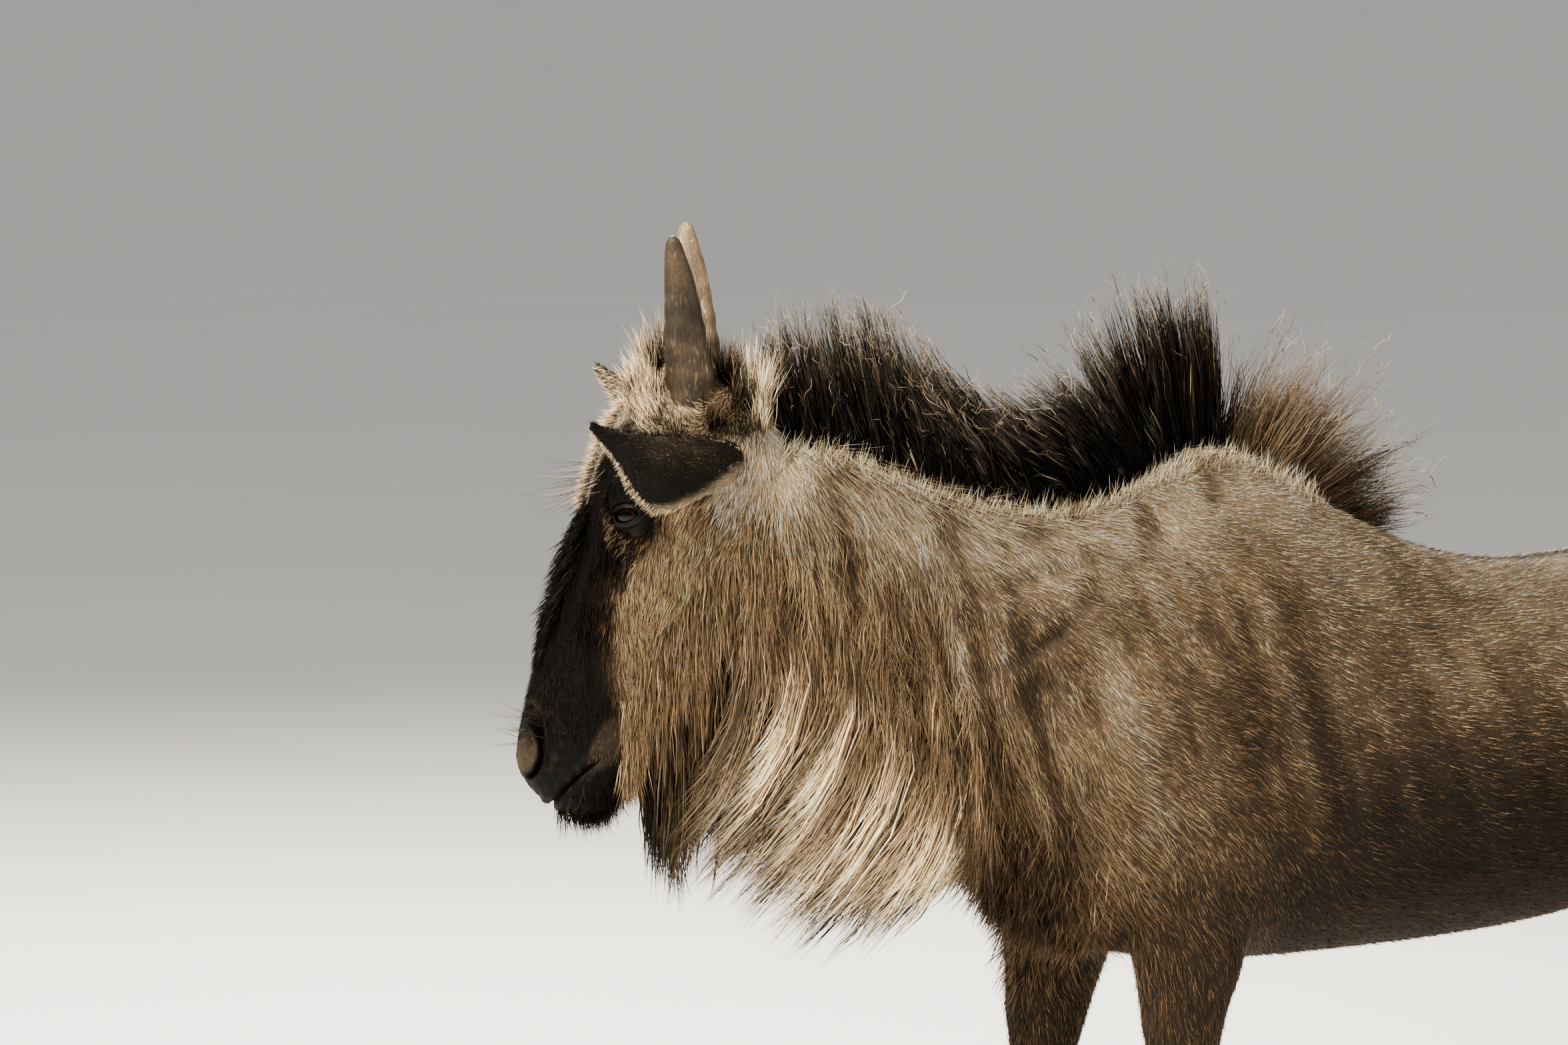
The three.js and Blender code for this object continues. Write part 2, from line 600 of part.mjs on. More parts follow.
// Rows of the mane: the root and the tip of the hair at places along the crest, as the outline shows them
const maneRows = [
  { x: -446, y: 103, z: 1014, tipX: -441, tipZ: 1116 },
  { x: -415, y: 87, z: 1022, tipX: -430, tipZ: 1150 },
  { x: -363, y: 64, z: 1000, tipX: -388, tipZ: 1160 },
  { x: -321, y: 47, z: 982, tipX: -346, tipZ: 1168 },
  { x: -284, y: 33, z: 964, tipX: -312, tipZ: 1146 },
  { x: -240, y: 20, z: 952, tipX: -278, tipZ: 1114 },
  { x: -205, y: 12, z: 948, tipX: -250, tipZ: 1088 },
  { x: -165, y: 5, z: 954, tipX: -220, tipZ: 1078 },
  { x: -125, y: 2, z: 964, tipX: -192, tipZ: 1082 },
  { x: -90, y: 0, z: 976, tipX: -160, tipZ: 1124 },
  { x: -55, y: 0, z: 988, tipX: -108, tipZ: 1168 },
  { x: -20, y: 0, z: 994, tipX: -46, tipZ: 1194 },
  { x: 12, y: 0, z: 996, tipX: 8, tipZ: 1190 },
];
const maneRearRows = [
  { x: 14, y: 0, z: 994, tipX: 46, tipZ: 1146 },
  { x: 32, y: 0, z: 984, tipX: 108, tipZ: 1126 },
  { x: 50, y: 0, z: 972, tipX: 172, tipZ: 1106 },
  { x: 70, y: 0, z: 960, tipX: 200, tipZ: 1060 },
  { x: 90, y: 0, z: 946, tipX: 232, tipZ: 1012 },
  { x: 112, y: 0, z: 932, tipX: 244, tipZ: 972 },
  { x: 138, y: 0, z: 918, tipX: 256, tipZ: 940 },
];
const MANE_LOCK = { width: 54, thickness: 14, sideStep: 15, splay: 13, curl: 0.75 };

// Locks in columns along a row of roots, with a rank on each side of the middle one
function crestLocks(rows, { columns, seed }) {
  const draw = seeded(seed);
  const { width, thickness, sideStep, splay, curl } = MANE_LOCK;
  const locks = [];
  for (let i = 0; i < columns; i++)
    for (const rank of [-1, 0, 1]) {
      const stagger = rank === 0 ? 0.5 : 0;
      const place = ((i + stagger + 0.3 * draw()) / columns) * (rows.length - 1);
      const { x, y, z, tipX, tipZ } = readStation(rows, min(place, rows.length - 1));
      const reach = (rank === 0 ? 1 : 0.84) * mix(0.9, 1.04, draw());
      const root = vector(x, y + rank * sideStep, z - 10 * abs(rank));
      const tip = vector(
        mix(root.x, tipX, reach) + mix(-9, 9, draw()),
        y + rank * (sideStep + splay) + mix(-8, 8, draw()),
        mix(root.z, tipZ, reach),
      );
      const straight = tip.clone().sub(root).normalize();
      const upright = vector(0.1 * sign(tipX - x), rank * 0.25, 1).normalize();
      const turn = upright.sub(straight).multiplyScalar(curl);
      const leave = straight.clone().add(turn);
      const arrive = straight.clone().sub(turn).add(vector(0, 0, mix(-0.35, 0.35, draw())));
      const across = vector(1, mix(-0.35, 0.35, draw()), 0);
      const size = width * mix(0.85, 1.15, draw());
      locks.push(lockSolid({ root, leave, arrive, tip, width: size, thickness, across }));
    }
  return joined(locks);
}

function maneLocks() {
  return crestLocks(maneRows, { columns: 12, seed: 11 });
}
function maneRearLocks() {
  return crestLocks(maneRearRows, { columns: 5, seed: 23 });
}

// Rows of the beard on the throat: its root under the neck, its tip, and how far out to the sides it grows
const beardRows = [
  { x: -452, y: 106, z: 846, tipX: -486, tipZ: 622, half: 36 },
  { x: -422, y: 92, z: 820, tipX: -462, tipZ: 566, half: 48 },
  { x: -382, y: 74, z: 788, tipX: -432, tipZ: 536, half: 56 },
  { x: -346, y: 58, z: 762, tipX: -392, tipZ: 528, half: 58 },
  { x: -308, y: 42, z: 734, tipX: -350, tipZ: 536, half: 52 },
  { x: -276, y: 32, z: 702, tipX: -308, tipZ: 578, half: 42 },
];
const BEARD_LOCK = { width: 56, thickness: 14, columns: 5, ranks: [-1, -0.5, 0, 0.5, 1] };
function beardLocks() {
  const draw = seeded(37);
  const { width, thickness, columns, ranks } = BEARD_LOCK;
  const locks = [];
  for (let i = 0; i < columns; i++)
    for (const rank of ranks) {
      const outer = abs(rank);
      const place = ((i + (outer === 0.5 ? 0.5 : 0) + 0.4 * draw()) / columns) * (beardRows.length - 1);
      const { x, y, z, tipX, tipZ, half } = readStation(beardRows, min(place, beardRows.length - 1));
      const root = vector(x + 8 * outer, y + rank * half * 0.7, z + 62 * outer * outer + 4);
      const reach = (1 - 0.14 * outer) * mix(0.86, 1.05, draw());
      const tip = vector(
        mix(x, tipX, reach) + mix(-12, 8, draw()),
        y + rank * half * 0.5 + mix(-8, 8, draw()),
        mix(z, tipZ, reach),
      );
      const leave = vector(mix(0.1, 0.3, draw()), rank * 0.7, -1);
      const arrive = vector(mix(-0.9, -0.5, draw()), -rank * 0.3, -1);
      const across = vector(1, rank * 0.6, 0);
      const size = width * mix(0.85, 1.15, draw());
      locks.push(lockSolid({ root, leave, arrive, tip, width: size, thickness, across }));
    }
  return joined(locks);
}

// The beard under the jaw: roots along the jaw and how far each lock hangs down
const chinRows = [
  { s: 196, h: -56, hang: 236, half: 26 },
  { s: 232, h: -48, hang: 216, half: 26 },
  { s: 268, h: -42, hang: 190, half: 24 },
  { s: 304, h: -38, hang: 144, half: 21 },
  { s: 340, h: -34, hang: 92, half: 16 },
];
const CHIN_LOCK = { width: 44, thickness: 12, columns: 4 };
function chinLocks(grow = 0) {
  const draw = seeded(41);
  const { columns } = CHIN_LOCK;
  const [width, thickness] = [CHIN_LOCK.width + 2 * grow, CHIN_LOCK.thickness + 2 * grow];
  const locks = [];
  for (let i = 0; i < columns; i++)
    for (const rank of [-1, 0, 1]) {
      const place = ((i + (rank === 0 ? 0.5 : 0.1) + 0.3 * draw()) / columns) * (chinRows.length - 1);
      const { s, h, hang, half } = readStation(chinRows, min(place, chinRows.length - 1));
      const root = headPoint(s, rank * half, h + 6 * abs(rank));
      const drop = hang * (1 - 0.14 * abs(rank)) * mix(0.86, 1.04, draw());
      const tip = root.clone().add(vector(mix(-6, 10, draw()), -rank * half * 0.4, -drop));
      const leave = vector(0.15, rank * 0.35, -1);
      const arrive = vector(mix(-0.5, 0.1, draw()), -rank * 0.3, -1);
      const across = headDirection(0.3, rank * 0.4, 1);
      locks.push(lockSolid({ root, leave, arrive, tip, width, thickness, across }));
    }
  return joined(locks);
}

// Short hair on the crown: in front of the horns, between them and behind them
const crownTufts = [
  { s: 10, y: -18, h: 102, lean: [-16, -10, 34] },
  { s: 10, y: 18, h: 102, lean: [-16, 10, 34] },
  { s: -4, y: 0, h: 100, lean: [-10, 0, 42] },
  { s: -18, y: 0, h: 70, lean: [-4, 0, 38] },
  { s: -20, y: -12, h: 42, lean: [2, -10, 40] },
  { s: -20, y: 12, h: 40, lean: [4, 10, 40] },
  { s: -15, y: -22, h: 20, lean: [4, -12, 40] },
  { s: -15, y: 22, h: 20, lean: [4, 12, 40] },
];
const CROWN_LOCK = { width: 34, thickness: 12, sunk: 18 };
function crownLocks(grow = 0) {
  const { sunk } = CROWN_LOCK;
  const [width, thickness] = [CROWN_LOCK.width + 2 * grow, CROWN_LOCK.thickness + 2 * grow];
  return joined(
    crownTufts.map(({ s, y, h, lean }) => {
      const root = headPoint(s, y, h);
      const straight = vector(...lean).transformDirection(headPlacement);
      const tip = root.clone().addScaledVector(straight, hypot(...lean) + sunk);
      const leave = straight.clone().add(vector(0, 0, 0.5));
      const arrive = straight.clone().add(vector(0, 0, -0.4));
      return lockSolid({ root, leave, arrive, tip, width, thickness, across: headDirection(0.4, 0.3, 1) });
    }),
  );
}

// The tuft of the tail: locks from its lower part, hanging to the hocks
const TAIL_LOCKS = { count: 8, from: -165, to: -270, length: 245, width: 34, thickness: 11 };
function tailLocks() {
  const draw = seeded(53);
  const { count, from, to, length, width, thickness } = TAIL_LOCKS;
  return joined(
    Array.from({ length: count }, (_, i) => {
      const angle = i * 2.4;
      const outward = vector(cos(angle), sin(angle), 0);
      const root = vector(TAIL_ROOT.x + 59, 0, TAIL_ROOT.z + mix(from, to, i / count)).addScaledVector(outward, 5);
      const drop = length * mix(0.85, 1.1, draw());
      const tip = root.clone().add(vector(0, 0, -drop)).addScaledVector(outward, mix(4, 14, draw()));
      const leave = outward.clone().multiplyScalar(0.45).add(vector(0, 0, -1));
      const arrive = outward.clone().multiplyScalar(-0.35).add(vector(0, 0, -1));
      const across = vector(-outward.y, outward.x, 0);
      return lockSolid({ root, leave, arrive, tip, width, thickness, across });
    }),
  );
}

// Eyes, set in sockets with lids in front of them
function eyePlace(side) {
  return {
    centre: headPoint(116, side * 53, 66),
    gaze: headDirection(0.16, side * 0.92, 0.34),
  };
}
function eyeSolid(side, grow = 0) {
  const { centre, gaze } = eyePlace(side);
  const turn = new THREE.Quaternion().setFromUnitVectors(vector(0, 1, 0), gaze);
  const matrix = new THREE.Matrix4().compose(centre, turn, vector(1, 1, 1));
  return solidOfGeometry(new THREE.SphereGeometry(EYE_RADIUS + grow, 12, 9), matrix);
}
function lidSolid(side) {
  const { centre, gaze } = eyePlace(side);
  const turn = new THREE.Quaternion().setFromUnitVectors(vector(0, 1, 0), gaze);
  const matrix = new THREE.Matrix4().compose(centre, turn, vector(1, 1, 1));
  return solidOfGeometry(new THREE.SphereGeometry(EYE_RADIUS + LID_THICKNESS, 12, 9), matrix);
}
// The opening between the lids, an almond pushed out along the gaze
function lidOpening(side) {
  const { centre, gaze } = eyePlace(side);
  const long = headDirection(0.66, 0, 0.75);
  const across = gaze.clone().cross(long).normalize();
  long.copy(across).cross(gaze).normalize();
  const corners = 12;
  const rings = [2, 40].map((distance) =>
    Array.from({ length: corners }, (_, i) => {
      const angle = (2 * PI * i) / corners;
      return centre
        .clone()
        .addScaledVector(gaze, distance)
        .addScaledVector(long, 14.5 * cos(angle))
        .addScaledVector(across, 9 * sin(angle) * abs(sin(angle)) ** 0.2);
    }),
  );
  return meshOfRings(rings);
}

// A round tool swept along a curve, for the line of the mouth and the nostrils
function sweptTool(points, radii, sides = 8) {
  const rings = points.map((middle, i) => {
    const along = points[min(i + 1, points.length - 1)].clone().sub(points[max(i - 1, 0)]).normalize();
    const side = along.clone().cross(headDirection(0, 0, 1)).normalize();
    const up = side.clone().cross(along).normalize();
    return sectionRing({ middle, side, up, half: radii[i], rise: radii[i], drop: radii[i] }, sides);
  });
  return meshOfRings(rings);
}
// The line of the mouth: a bent sheet, from the front of the lips back to its corners
const MOUTH_OPEN = 2.4;
const MOUTH_CORNER = 352;
const LIP_DEPTH = 9;
function mouthLine() {
  const [rows, columns] = [3, 6];
  const [front, back] = [[], []];
  for (let i = 0; i <= rows; i++)
    for (let j = 0; j <= columns; j++) {
      const s = mix(MOUTH_CORNER, 430, i / rows);
      const y = mix(-62, 62, j / columns);
      const h = mix(-16, 12, pow(i / rows, 0.8)) + 5 * abs(y / 62) ** 2;
      front.push(headPoint(s, y, h + MOUTH_OPEN / 2));
      back.push(headPoint(s, y, h - MOUTH_OPEN / 2));
    }
  return leafSolid(front, back, rows, columns).subtract(headSolid(-LIP_DEPTH, 1, 12));
}
// A nostril: a bent slit on the side of the muzzle, deepest at its upper end
const nostrilPath = [
  { s: 343, h: 64, radius: 2.5 },
  { s: 350, h: 60, radius: 6 },
  { s: 361, h: 52, radius: 7 },
  { s: 373, h: 45, radius: 5 },
  { s: 384, h: 42, radius: 3 },
  { s: 391, h: 46, radius: 1.5 },
];
function nostril(side) {
  const points = nostrilPath.map(({ s, h, radius }) => {
    const from = headPoint(s, side * 120, h);
    const found = onSurface(headSkin, from, headDirection(0, -side, 0));
    return found.addScaledVector(headDirection(0, -side, 0), radius * 0.35);
  });
  return sweptTool(points, nostrilPath.map(({ radius }) => radius), 7);
}

// The first place where a line from outside meets a surface
function onSurface(mesh, from, direction) {
  return new THREE.Raycaster(from, direction).intersectObject(mesh)[0].point;
}

// The whole body, joined and then parted by thin cuts
const headRaw = headSolid(0, 1.6, 24);
const neckRaw = neckSolid(0, 1.6, 20);
const torsoRaw = torsoSolid(0, 1.5, 24);
const grown = joined([headSolid(GAP, 1.6, 24), neckSolid(GAP, 1.6, 20), torsoSolid(GAP, 1.5, 24)]);
const headSkin = new THREE.Mesh(geometryOfSolid(headRaw), new THREE.MeshBasicMaterial({ side: THREE.DoubleSide }));

let trunk = joined([torsoRaw, neckRaw, headRaw]);
for (const side of [-1, 1]) {
  trunk = trunk.add(lidSolid(side)).subtract(lidOpening(side)).subtract(eyeSolid(side, GAP)).subtract(nostril(side));
}
trunk = trunk.subtract(mouthLine());

const shoulderCut = { point: vector(-2, 0, 1040), normal: vector(-cos(radians(30)), 0, sin(radians(30))) };
const napeNormal = headDirection(0.3, 0, 1);
const napeCut = { point: headPoint(0, 0, -14), normal: napeNormal };

const [bodySide, frontSide] = parted(trunk, shoulderCut.point, shoulderCut.normal);
const [neckSide, headSide] = parted(frontSide, napeCut.point, napeCut.normal);
const [bodyGrown, frontGrown] = parted(grown, shoulderCut.point, shoulderCut.normal);
const [neckGrown, headGrown] = parted(frontGrown, napeCut.point, napeCut.normal);

const ahead = halfSpace(shoulderCut.point.clone().addScaledVector(shoulderCut.normal, GAP / 2), shoulderCut.normal);
const behind = halfSpace(
  shoulderCut.point.clone().addScaledVector(shoulderCut.normal, -GAP / 2),
  shoulderCut.normal.clone().negate(),
);
const neckTrimmed = joined([neckSide, maneLocks().intersect(ahead), beardLocks()])
  .subtract(joined([bodyGrown, headGrown, chinLocks(2 * GAP), crownLocks(2 * GAP)]));
const headTrimmed = joined([headSide, chinLocks(), crownLocks()]).subtract(neckGrown);
const rear = bodySide.add(maneRearLocks().intersect(behind));

const flesh = new THREE.MeshStandardMaterial({ color: 0x75614a, roughness: 0.85 });
const darkFlesh = new THREE.MeshStandardMaterial({ color: 0x4a3d2e, roughness: 0.85 });
const hornStuff = new THREE.MeshStandardMaterial({ color: 0x6b5a45, roughness: 0.6 });
const eyeStuff = new THREE.MeshStandardMaterial({ color: 0x0c0907, roughness: 0.1 });
const hoofStuff = new THREE.MeshStandardMaterial({ color: 0x1c1815, roughness: 0.5 });

const animal = new THREE.Group();
function addNode(name, solid, material, group = animal) {
  const mesh = new THREE.Mesh(geometryOfSolid(largest(solid)), material);
  mesh.name = name;
  group.add(mesh);
  return mesh;
}

addNode("torso", rear, flesh);
addNode("neck", neckTrimmed, flesh);

const headPieces = new THREE.Group();
animal.add(headPieces);
addNode("head", headTrimmed, flesh, headPieces);
for (const [word, side] of [
  ["left", -1],
  ["right", 1],
]) {
  addNode(`eye_${word}`, eyeSolid(side), eyeStuff, headPieces);
  addNode(`horn_${word}`, hornSolid(side).subtract(grown), hornStuff, headPieces);
}
for (const ear of ears) addNode(ear.name, earSolid(ear).subtract(grown), darkFlesh, headPieces);

for (const leg of legs) {
  const group = new THREE.Group();
  animal.add(group);
  const stations = legStations(leg);
  const whole = legSolid(leg, 1.4, 12).subtract(grown);
  const [lower, upper] = parted(whole, vector(0, 0, leg.joint), vector(0, 0, 1));
  const foot = stations.at(-1);
  const fetlock = stations.at(-4);
  const shank = joined([
    largest(lower),
    dewClaw(fetlock.x, fetlock.y, fetlock.z - 6, 1),
    dewClaw(fetlock.x, fetlock.y, fetlock.z - 6, -1),
  ]);
  addNode(`${leg.name}_upper`, upper, flesh, group);
  addNode(`${leg.name}_lower`, shank, darkFlesh, group);
  addNode(`${leg.name}_claw_outer`, clawSolid(foot.x, foot.y, leg.side), hoofStuff, group);
  addNode(`${leg.name}_claw_inner`, clawSolid(foot.x, foot.y, -leg.side), hoofStuff, group);
}

const tailWhole = joined([tailSolid(), tailLocks()]).subtract(grown);
addNode("tail", tailWhole, darkFlesh);

// The origin is under the middle of the whole animal, on the ground
const bounds = new THREE.Box3().setFromObject(animal);
const middle = bounds.getCenter(vector(0, 0, 0));
animal.position.set(-middle.x, -middle.y, -bounds.min.z);

export default animal;
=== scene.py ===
import math

import bmesh
import bpy
import numpy as np
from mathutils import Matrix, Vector
from mathutils.kdtree import KDTree


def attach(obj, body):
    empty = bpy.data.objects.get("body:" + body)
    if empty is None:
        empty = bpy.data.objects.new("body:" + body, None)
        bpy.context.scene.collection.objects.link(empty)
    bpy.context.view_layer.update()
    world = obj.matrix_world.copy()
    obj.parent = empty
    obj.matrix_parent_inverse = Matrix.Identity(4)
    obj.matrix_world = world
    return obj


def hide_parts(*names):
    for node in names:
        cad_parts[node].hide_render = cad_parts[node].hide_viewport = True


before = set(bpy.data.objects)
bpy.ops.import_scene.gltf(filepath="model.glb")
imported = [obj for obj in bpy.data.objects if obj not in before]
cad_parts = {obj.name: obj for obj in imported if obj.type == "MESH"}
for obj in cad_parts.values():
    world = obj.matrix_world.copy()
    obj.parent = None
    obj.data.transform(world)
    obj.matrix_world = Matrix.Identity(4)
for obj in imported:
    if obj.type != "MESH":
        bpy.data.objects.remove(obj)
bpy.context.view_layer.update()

bl_info = {
    "name": "Standing wildebeest calf",
    "version": (1, 0, 0),
    "blender": (4, 5, 0),
    "location": "3D View > Sidebar > Wildebeest",
    "description": "A life-size wildebeest calf with its skin, coat, mane, beard, horns and hooves",
    "category": "Object",
}

# Shapes are worked out in millimetres: the animal faces -X, +Y is its right side, and it stands on Z = 0.
# This is where the solids' frame has its origin, as the frame's box is centred.
SHIFT = np.array([-74.12054, -46.39571, 0.0])
FLESH = ["torso", "neck", "head", "tail", "ear_left", "ear_right"] + [
    f"{leg}_{side}_{part}"
    for leg in ("foreleg", "hindleg")
    for side in ("left", "right")
    for part in ("upper", "lower")
]

# What one operator makes and the next ones need
made = {}


# Sums on arrays of points

def mix(a, b, t):
    return a + (b - a) * t


def unit(v):
    return v / np.maximum(np.linalg.norm(v, axis=-1, keepdims=True), 1e-9)


def column(x, y, z):
    """Vectors from three numbers or arrays."""
    return np.stack(np.broadcast_arrays(x, y, z), -1).astype(float)


def smooth(low, high, value):
    t = np.clip((value - low) / (high - low), 0, 1)
    return t * t * (3 - 2 * t)


def bell(distance, reach):
    return np.exp(-((distance / reach) ** 2))


def noise(points, size, seed=0):
    """Smooth noise from -1 to 1, in patches of about that size."""
    p = np.asarray(points) / size + 100.5 + seed * 7.31
    cell = np.floor(p).astype(np.int64)
    t = p - cell
    t = t * t * (3 - 2 * t)
    total = np.zeros(len(p))
    for corner in range(8):
        step = np.array([corner & 1, corner >> 1 & 1, corner >> 2 & 1])
        c = cell + step
        h = (c[:, 0] * 374761393 + c[:, 1] * 668265263 + c[:, 2] * 2147483647 + seed * 97531) & 0xFFFFFFFF
        h = ((h ^ (h >> 13)) * 1274126177) & 0xFFFFFFFF
        h = ((h ^ (h >> 16)) & 0xFFFF) / 32767.5 - 1
        total += h * np.prod(np.where(step, t, 1 - t), axis=1)
    return total


def read_table(table, place):
    """Smooth reading of a table of stations at places counted in stations."""
    table = np.asarray(table, float)
    place = np.clip(np.atleast_1d(np.asarray(place, float)), 0, len(table) - 1)
    i = np.minimum(np.floor(place).astype(int), len(table) - 2)
    t = (place - i)[:, None]
    a, b, c, d = (table[np.clip(i + k, 0, len(table) - 1)] for k in (-1, 0, 1, 2))
    second, third = 2 * a - 5 * b + 4 * c - d, 3 * b - a - 3 * c + d
    return 0.5 * (2 * b + (c - a) * t + second * t ** 2 + third * t ** 3)


def places(table, steps):
    return np.linspace(0, len(table) - 1, (len(table) - 1) * steps + 1)


def rings_of(middle, side, up, half, rise, drop, top, bottom, sides):
    """Closed sections: half the width, the reach above and below the middle, and how square each is."""
    angle = 2 * math.pi * (np.arange(sides) + 0.5) / sides
    c, s = np.cos(angle)[None], np.sin(angle)[None]
    half, rise, drop, top, bottom = (
        np.broadcast_to(np.asarray(v, float), (len(middle),))[:, None]
        for v in (half, rise, drop, top, bottom))
    power = 2 / np.where(s > 0, top, bottom)
    across = half * np.sign(c) * np.abs(c) ** power
    along = np.where(s > 0, rise, drop) * np.sign(s) * np.abs(s) ** power
    side, up = (np.broadcast_to(v, (len(middle), 3)) for v in (side, up))
    return middle[:, None] + side[:, None] * across[..., None] + up[:, None] * along[..., None]


def ring_faces(count, sides):
    """Faces with four corners between closed rings that follow one another."""
    i, j = np.meshgrid(np.arange(count - 1) * sides, np.arange(sides), indexing="ij")
    k = (j + 1) % sides
    return np.stack([i + j, i + k, i + sides + k, i + sides + j], -1).reshape(-1, 4)


def inside_out(points, quads):
    """Whether the faces of a closed shape point inwards."""
    a, b, c = (points[quads[:, n]] for n in (0, 1, 2))
    return np.sum(np.einsum("ij,ij->i", a - points.mean(0), np.cross(b - a, c - a))) < 0


def tube(rings):
    """Points and faces of a closed mesh over rings, with a point in the middle of each end."""
    count, sides, _ = rings.shape
    points = np.vstack([rings.reshape(-1, 3), rings[0].mean(0), rings[-1].mean(0)])
    quads = ring_faces(count, sides)
    j = np.arange(sides)
    k = (j + 1) % sides
    last = (count - 1) * sides
    triangles = np.vstack([
        np.stack([np.full(sides, count * sides), k, j], -1),
        np.stack([np.full(sides, count * sides + 1), last + j, last + k], -1),
    ])
    if inside_out(points, quads):
        quads, triangles = quads[:, ::-1], triangles[:, ::-1]
    return points, quads, triangles


def together(shapes):
    """The points and faces of several shapes as one."""
    starts = np.cumsum([0] + [len(shape[0]) for shape in shapes])
    points = np.vstack([shape[0] for shape in shapes])
    return points, *(np.vstack([shape[k] + start for shape, start in zip(shapes, starts)]) for k in (1, 2))


def mesh_of(name, points, quads=(), triangles=()):
    """A Blender mesh, in metres in the row frame, from points in millimetres."""
    mesh = bpy.data.meshes.new(name)
    points = (np.asarray(points, float) + SHIFT) / 1000
    quads = np.asarray(quads, np.int32).reshape(-1, 4)
    triangles = np.asarray(triangles, np.int32).reshape(-1, 3)
    corners = np.concatenate([quads.ravel(), triangles.ravel()]).astype(np.int32)
    starts = np.concatenate([np.arange(len(quads)) * 4, len(quads) * 4 + np.arange(len(triangles)) * 3])
    mesh.vertices.add(len(points))
    mesh.vertices.foreach_set("co", points.ravel().astype(np.float32))
    mesh.loops.add(len(corners))
    mesh.loops.foreach_set("vertex_index", corners)
    mesh.polygons.add(len(starts))
    mesh.polygons.foreach_set("loop_start", starts.astype(np.int32))
    mesh.update(calc_edges=True)
    shade_smooth(mesh)
    return mesh


def shade_smooth(mesh):
    mesh.polygons.foreach_set("use_smooth", np.ones(len(mesh.polygons), bool))


def object_of(name, mesh, material=None):
    obj = bpy.data.objects.new(name, mesh)
    bpy.context.scene.collection.objects.link(obj)
    if material:
        mesh.materials.append(material)
    return obj


def evaluated(obj):
    """A plain mesh of an object with its modifiers applied."""
    return bpy.data.meshes.new_from_object(obj.evaluated_get(bpy.context.evaluated_depsgraph_get()))


def read_all(items, key, width, kind=np.float32):
    """One property of all points, edges, faces or corners of a mesh."""
    values = np.empty(len(items) * width, kind)
    items.foreach_get(key, values)
    return values.reshape(-1, width)


def points_of(mesh):
    return read_all(mesh.vertices, "co", 3).astype(float) * 1000 - SHIFT


def normals_of(mesh):
    return read_all(mesh.vertex_normals, "vector", 3).astype(float)


def move_points(mesh, points):
    mesh.vertices.foreach_set("co", ((points + SHIFT) / 1000).ravel().astype(np.float32))
    mesh.update()


def edges_of(mesh):
    return read_all(mesh.edges, "vertices", 2, np.int32)


# How far a relaxed surface is pushed back out, so that thin parts keep their size
PUSH_BACK = -0.53


def relax(points, edges, rounds, weight=1.0, back=0.0):
    """Points drawn towards the mean of their neighbours, and pushed back out by a share of that."""
    count = np.bincount(edges.ravel(), minlength=len(points))[:, None]
    weight = np.asarray(weight).reshape(-1, 1)
    for _ in range(rounds):
        for pull in (0.5, back):
            if not pull:
                continue
            total = np.zeros_like(points)
            for axis in range(3):
                total[:, axis] = np.bincount(edges[:, 0], points[edges[:, 1], axis], len(points))
                total[:, axis] += np.bincount(edges[:, 1], points[edges[:, 0], axis], len(points))
            points = points + (total / np.maximum(count, 1) - points) * pull * weight
    return points


def paint(mesh, name, colours):
    """Colours from 0 to 1, as the eye sees them, kept on the points of a mesh."""
    linear = np.clip(colours, 0, 1) ** 2.2
    attribute = mesh.color_attributes.new(name, "FLOAT_COLOR", "POINT")
    filled = np.ones((len(linear), 4), np.float32)
    filled[:, :3] = linear
    attribute.data.foreach_set("color", filled.ravel())


def keep_value(mesh, name, values):
    attribute = mesh.attributes.new(name, "FLOAT", "POINT")
    attribute.data.foreach_set("value", np.asarray(values, np.float32))


# The head has its own measures: s along its axis from the poll, y to its right, h towards the face

HEAD_TURN, HEAD_ROLL, HEAD_PITCH = (math.radians(v) for v in (-30.7, 3.6, 62.6))
POLL = np.array([-450.0, 85.0, 1034.0])
PITCH = np.array([
    [-math.cos(HEAD_PITCH), 0, -math.sin(HEAD_PITCH)],
    [0, 1, 0],
    [-math.sin(HEAD_PITCH), 0, math.cos(HEAD_PITCH)],
])
TURN = np.array([
    [math.cos(HEAD_TURN), -math.sin(HEAD_TURN), 0],
    [math.sin(HEAD_TURN), math.cos(HEAD_TURN), 0],
    [0, 0, 1],
])
ROLL = np.array([
    [1, 0, 0],
    [0, math.cos(HEAD_ROLL), -math.sin(HEAD_ROLL)],
    [0, math.sin(HEAD_ROLL), math.cos(HEAD_ROLL)],
])
HEAD_AXES = TURN @ ROLL @ PITCH


def head_point(s, y, h):
    return column(s, y, h) @ HEAD_AXES.T + POLL


def head_direction(s, y, h):
    return unit(column(s, y, h) @ HEAD_AXES.T)


def head_turned(x, y, z):
    """A direction given in the head's frame before it is turned and rolled."""
    return unit(column(x, y, z) @ (TURN @ ROLL).T)


def head_measures(points):
    return (np.asarray(points) - POLL) @ HEAD_AXES


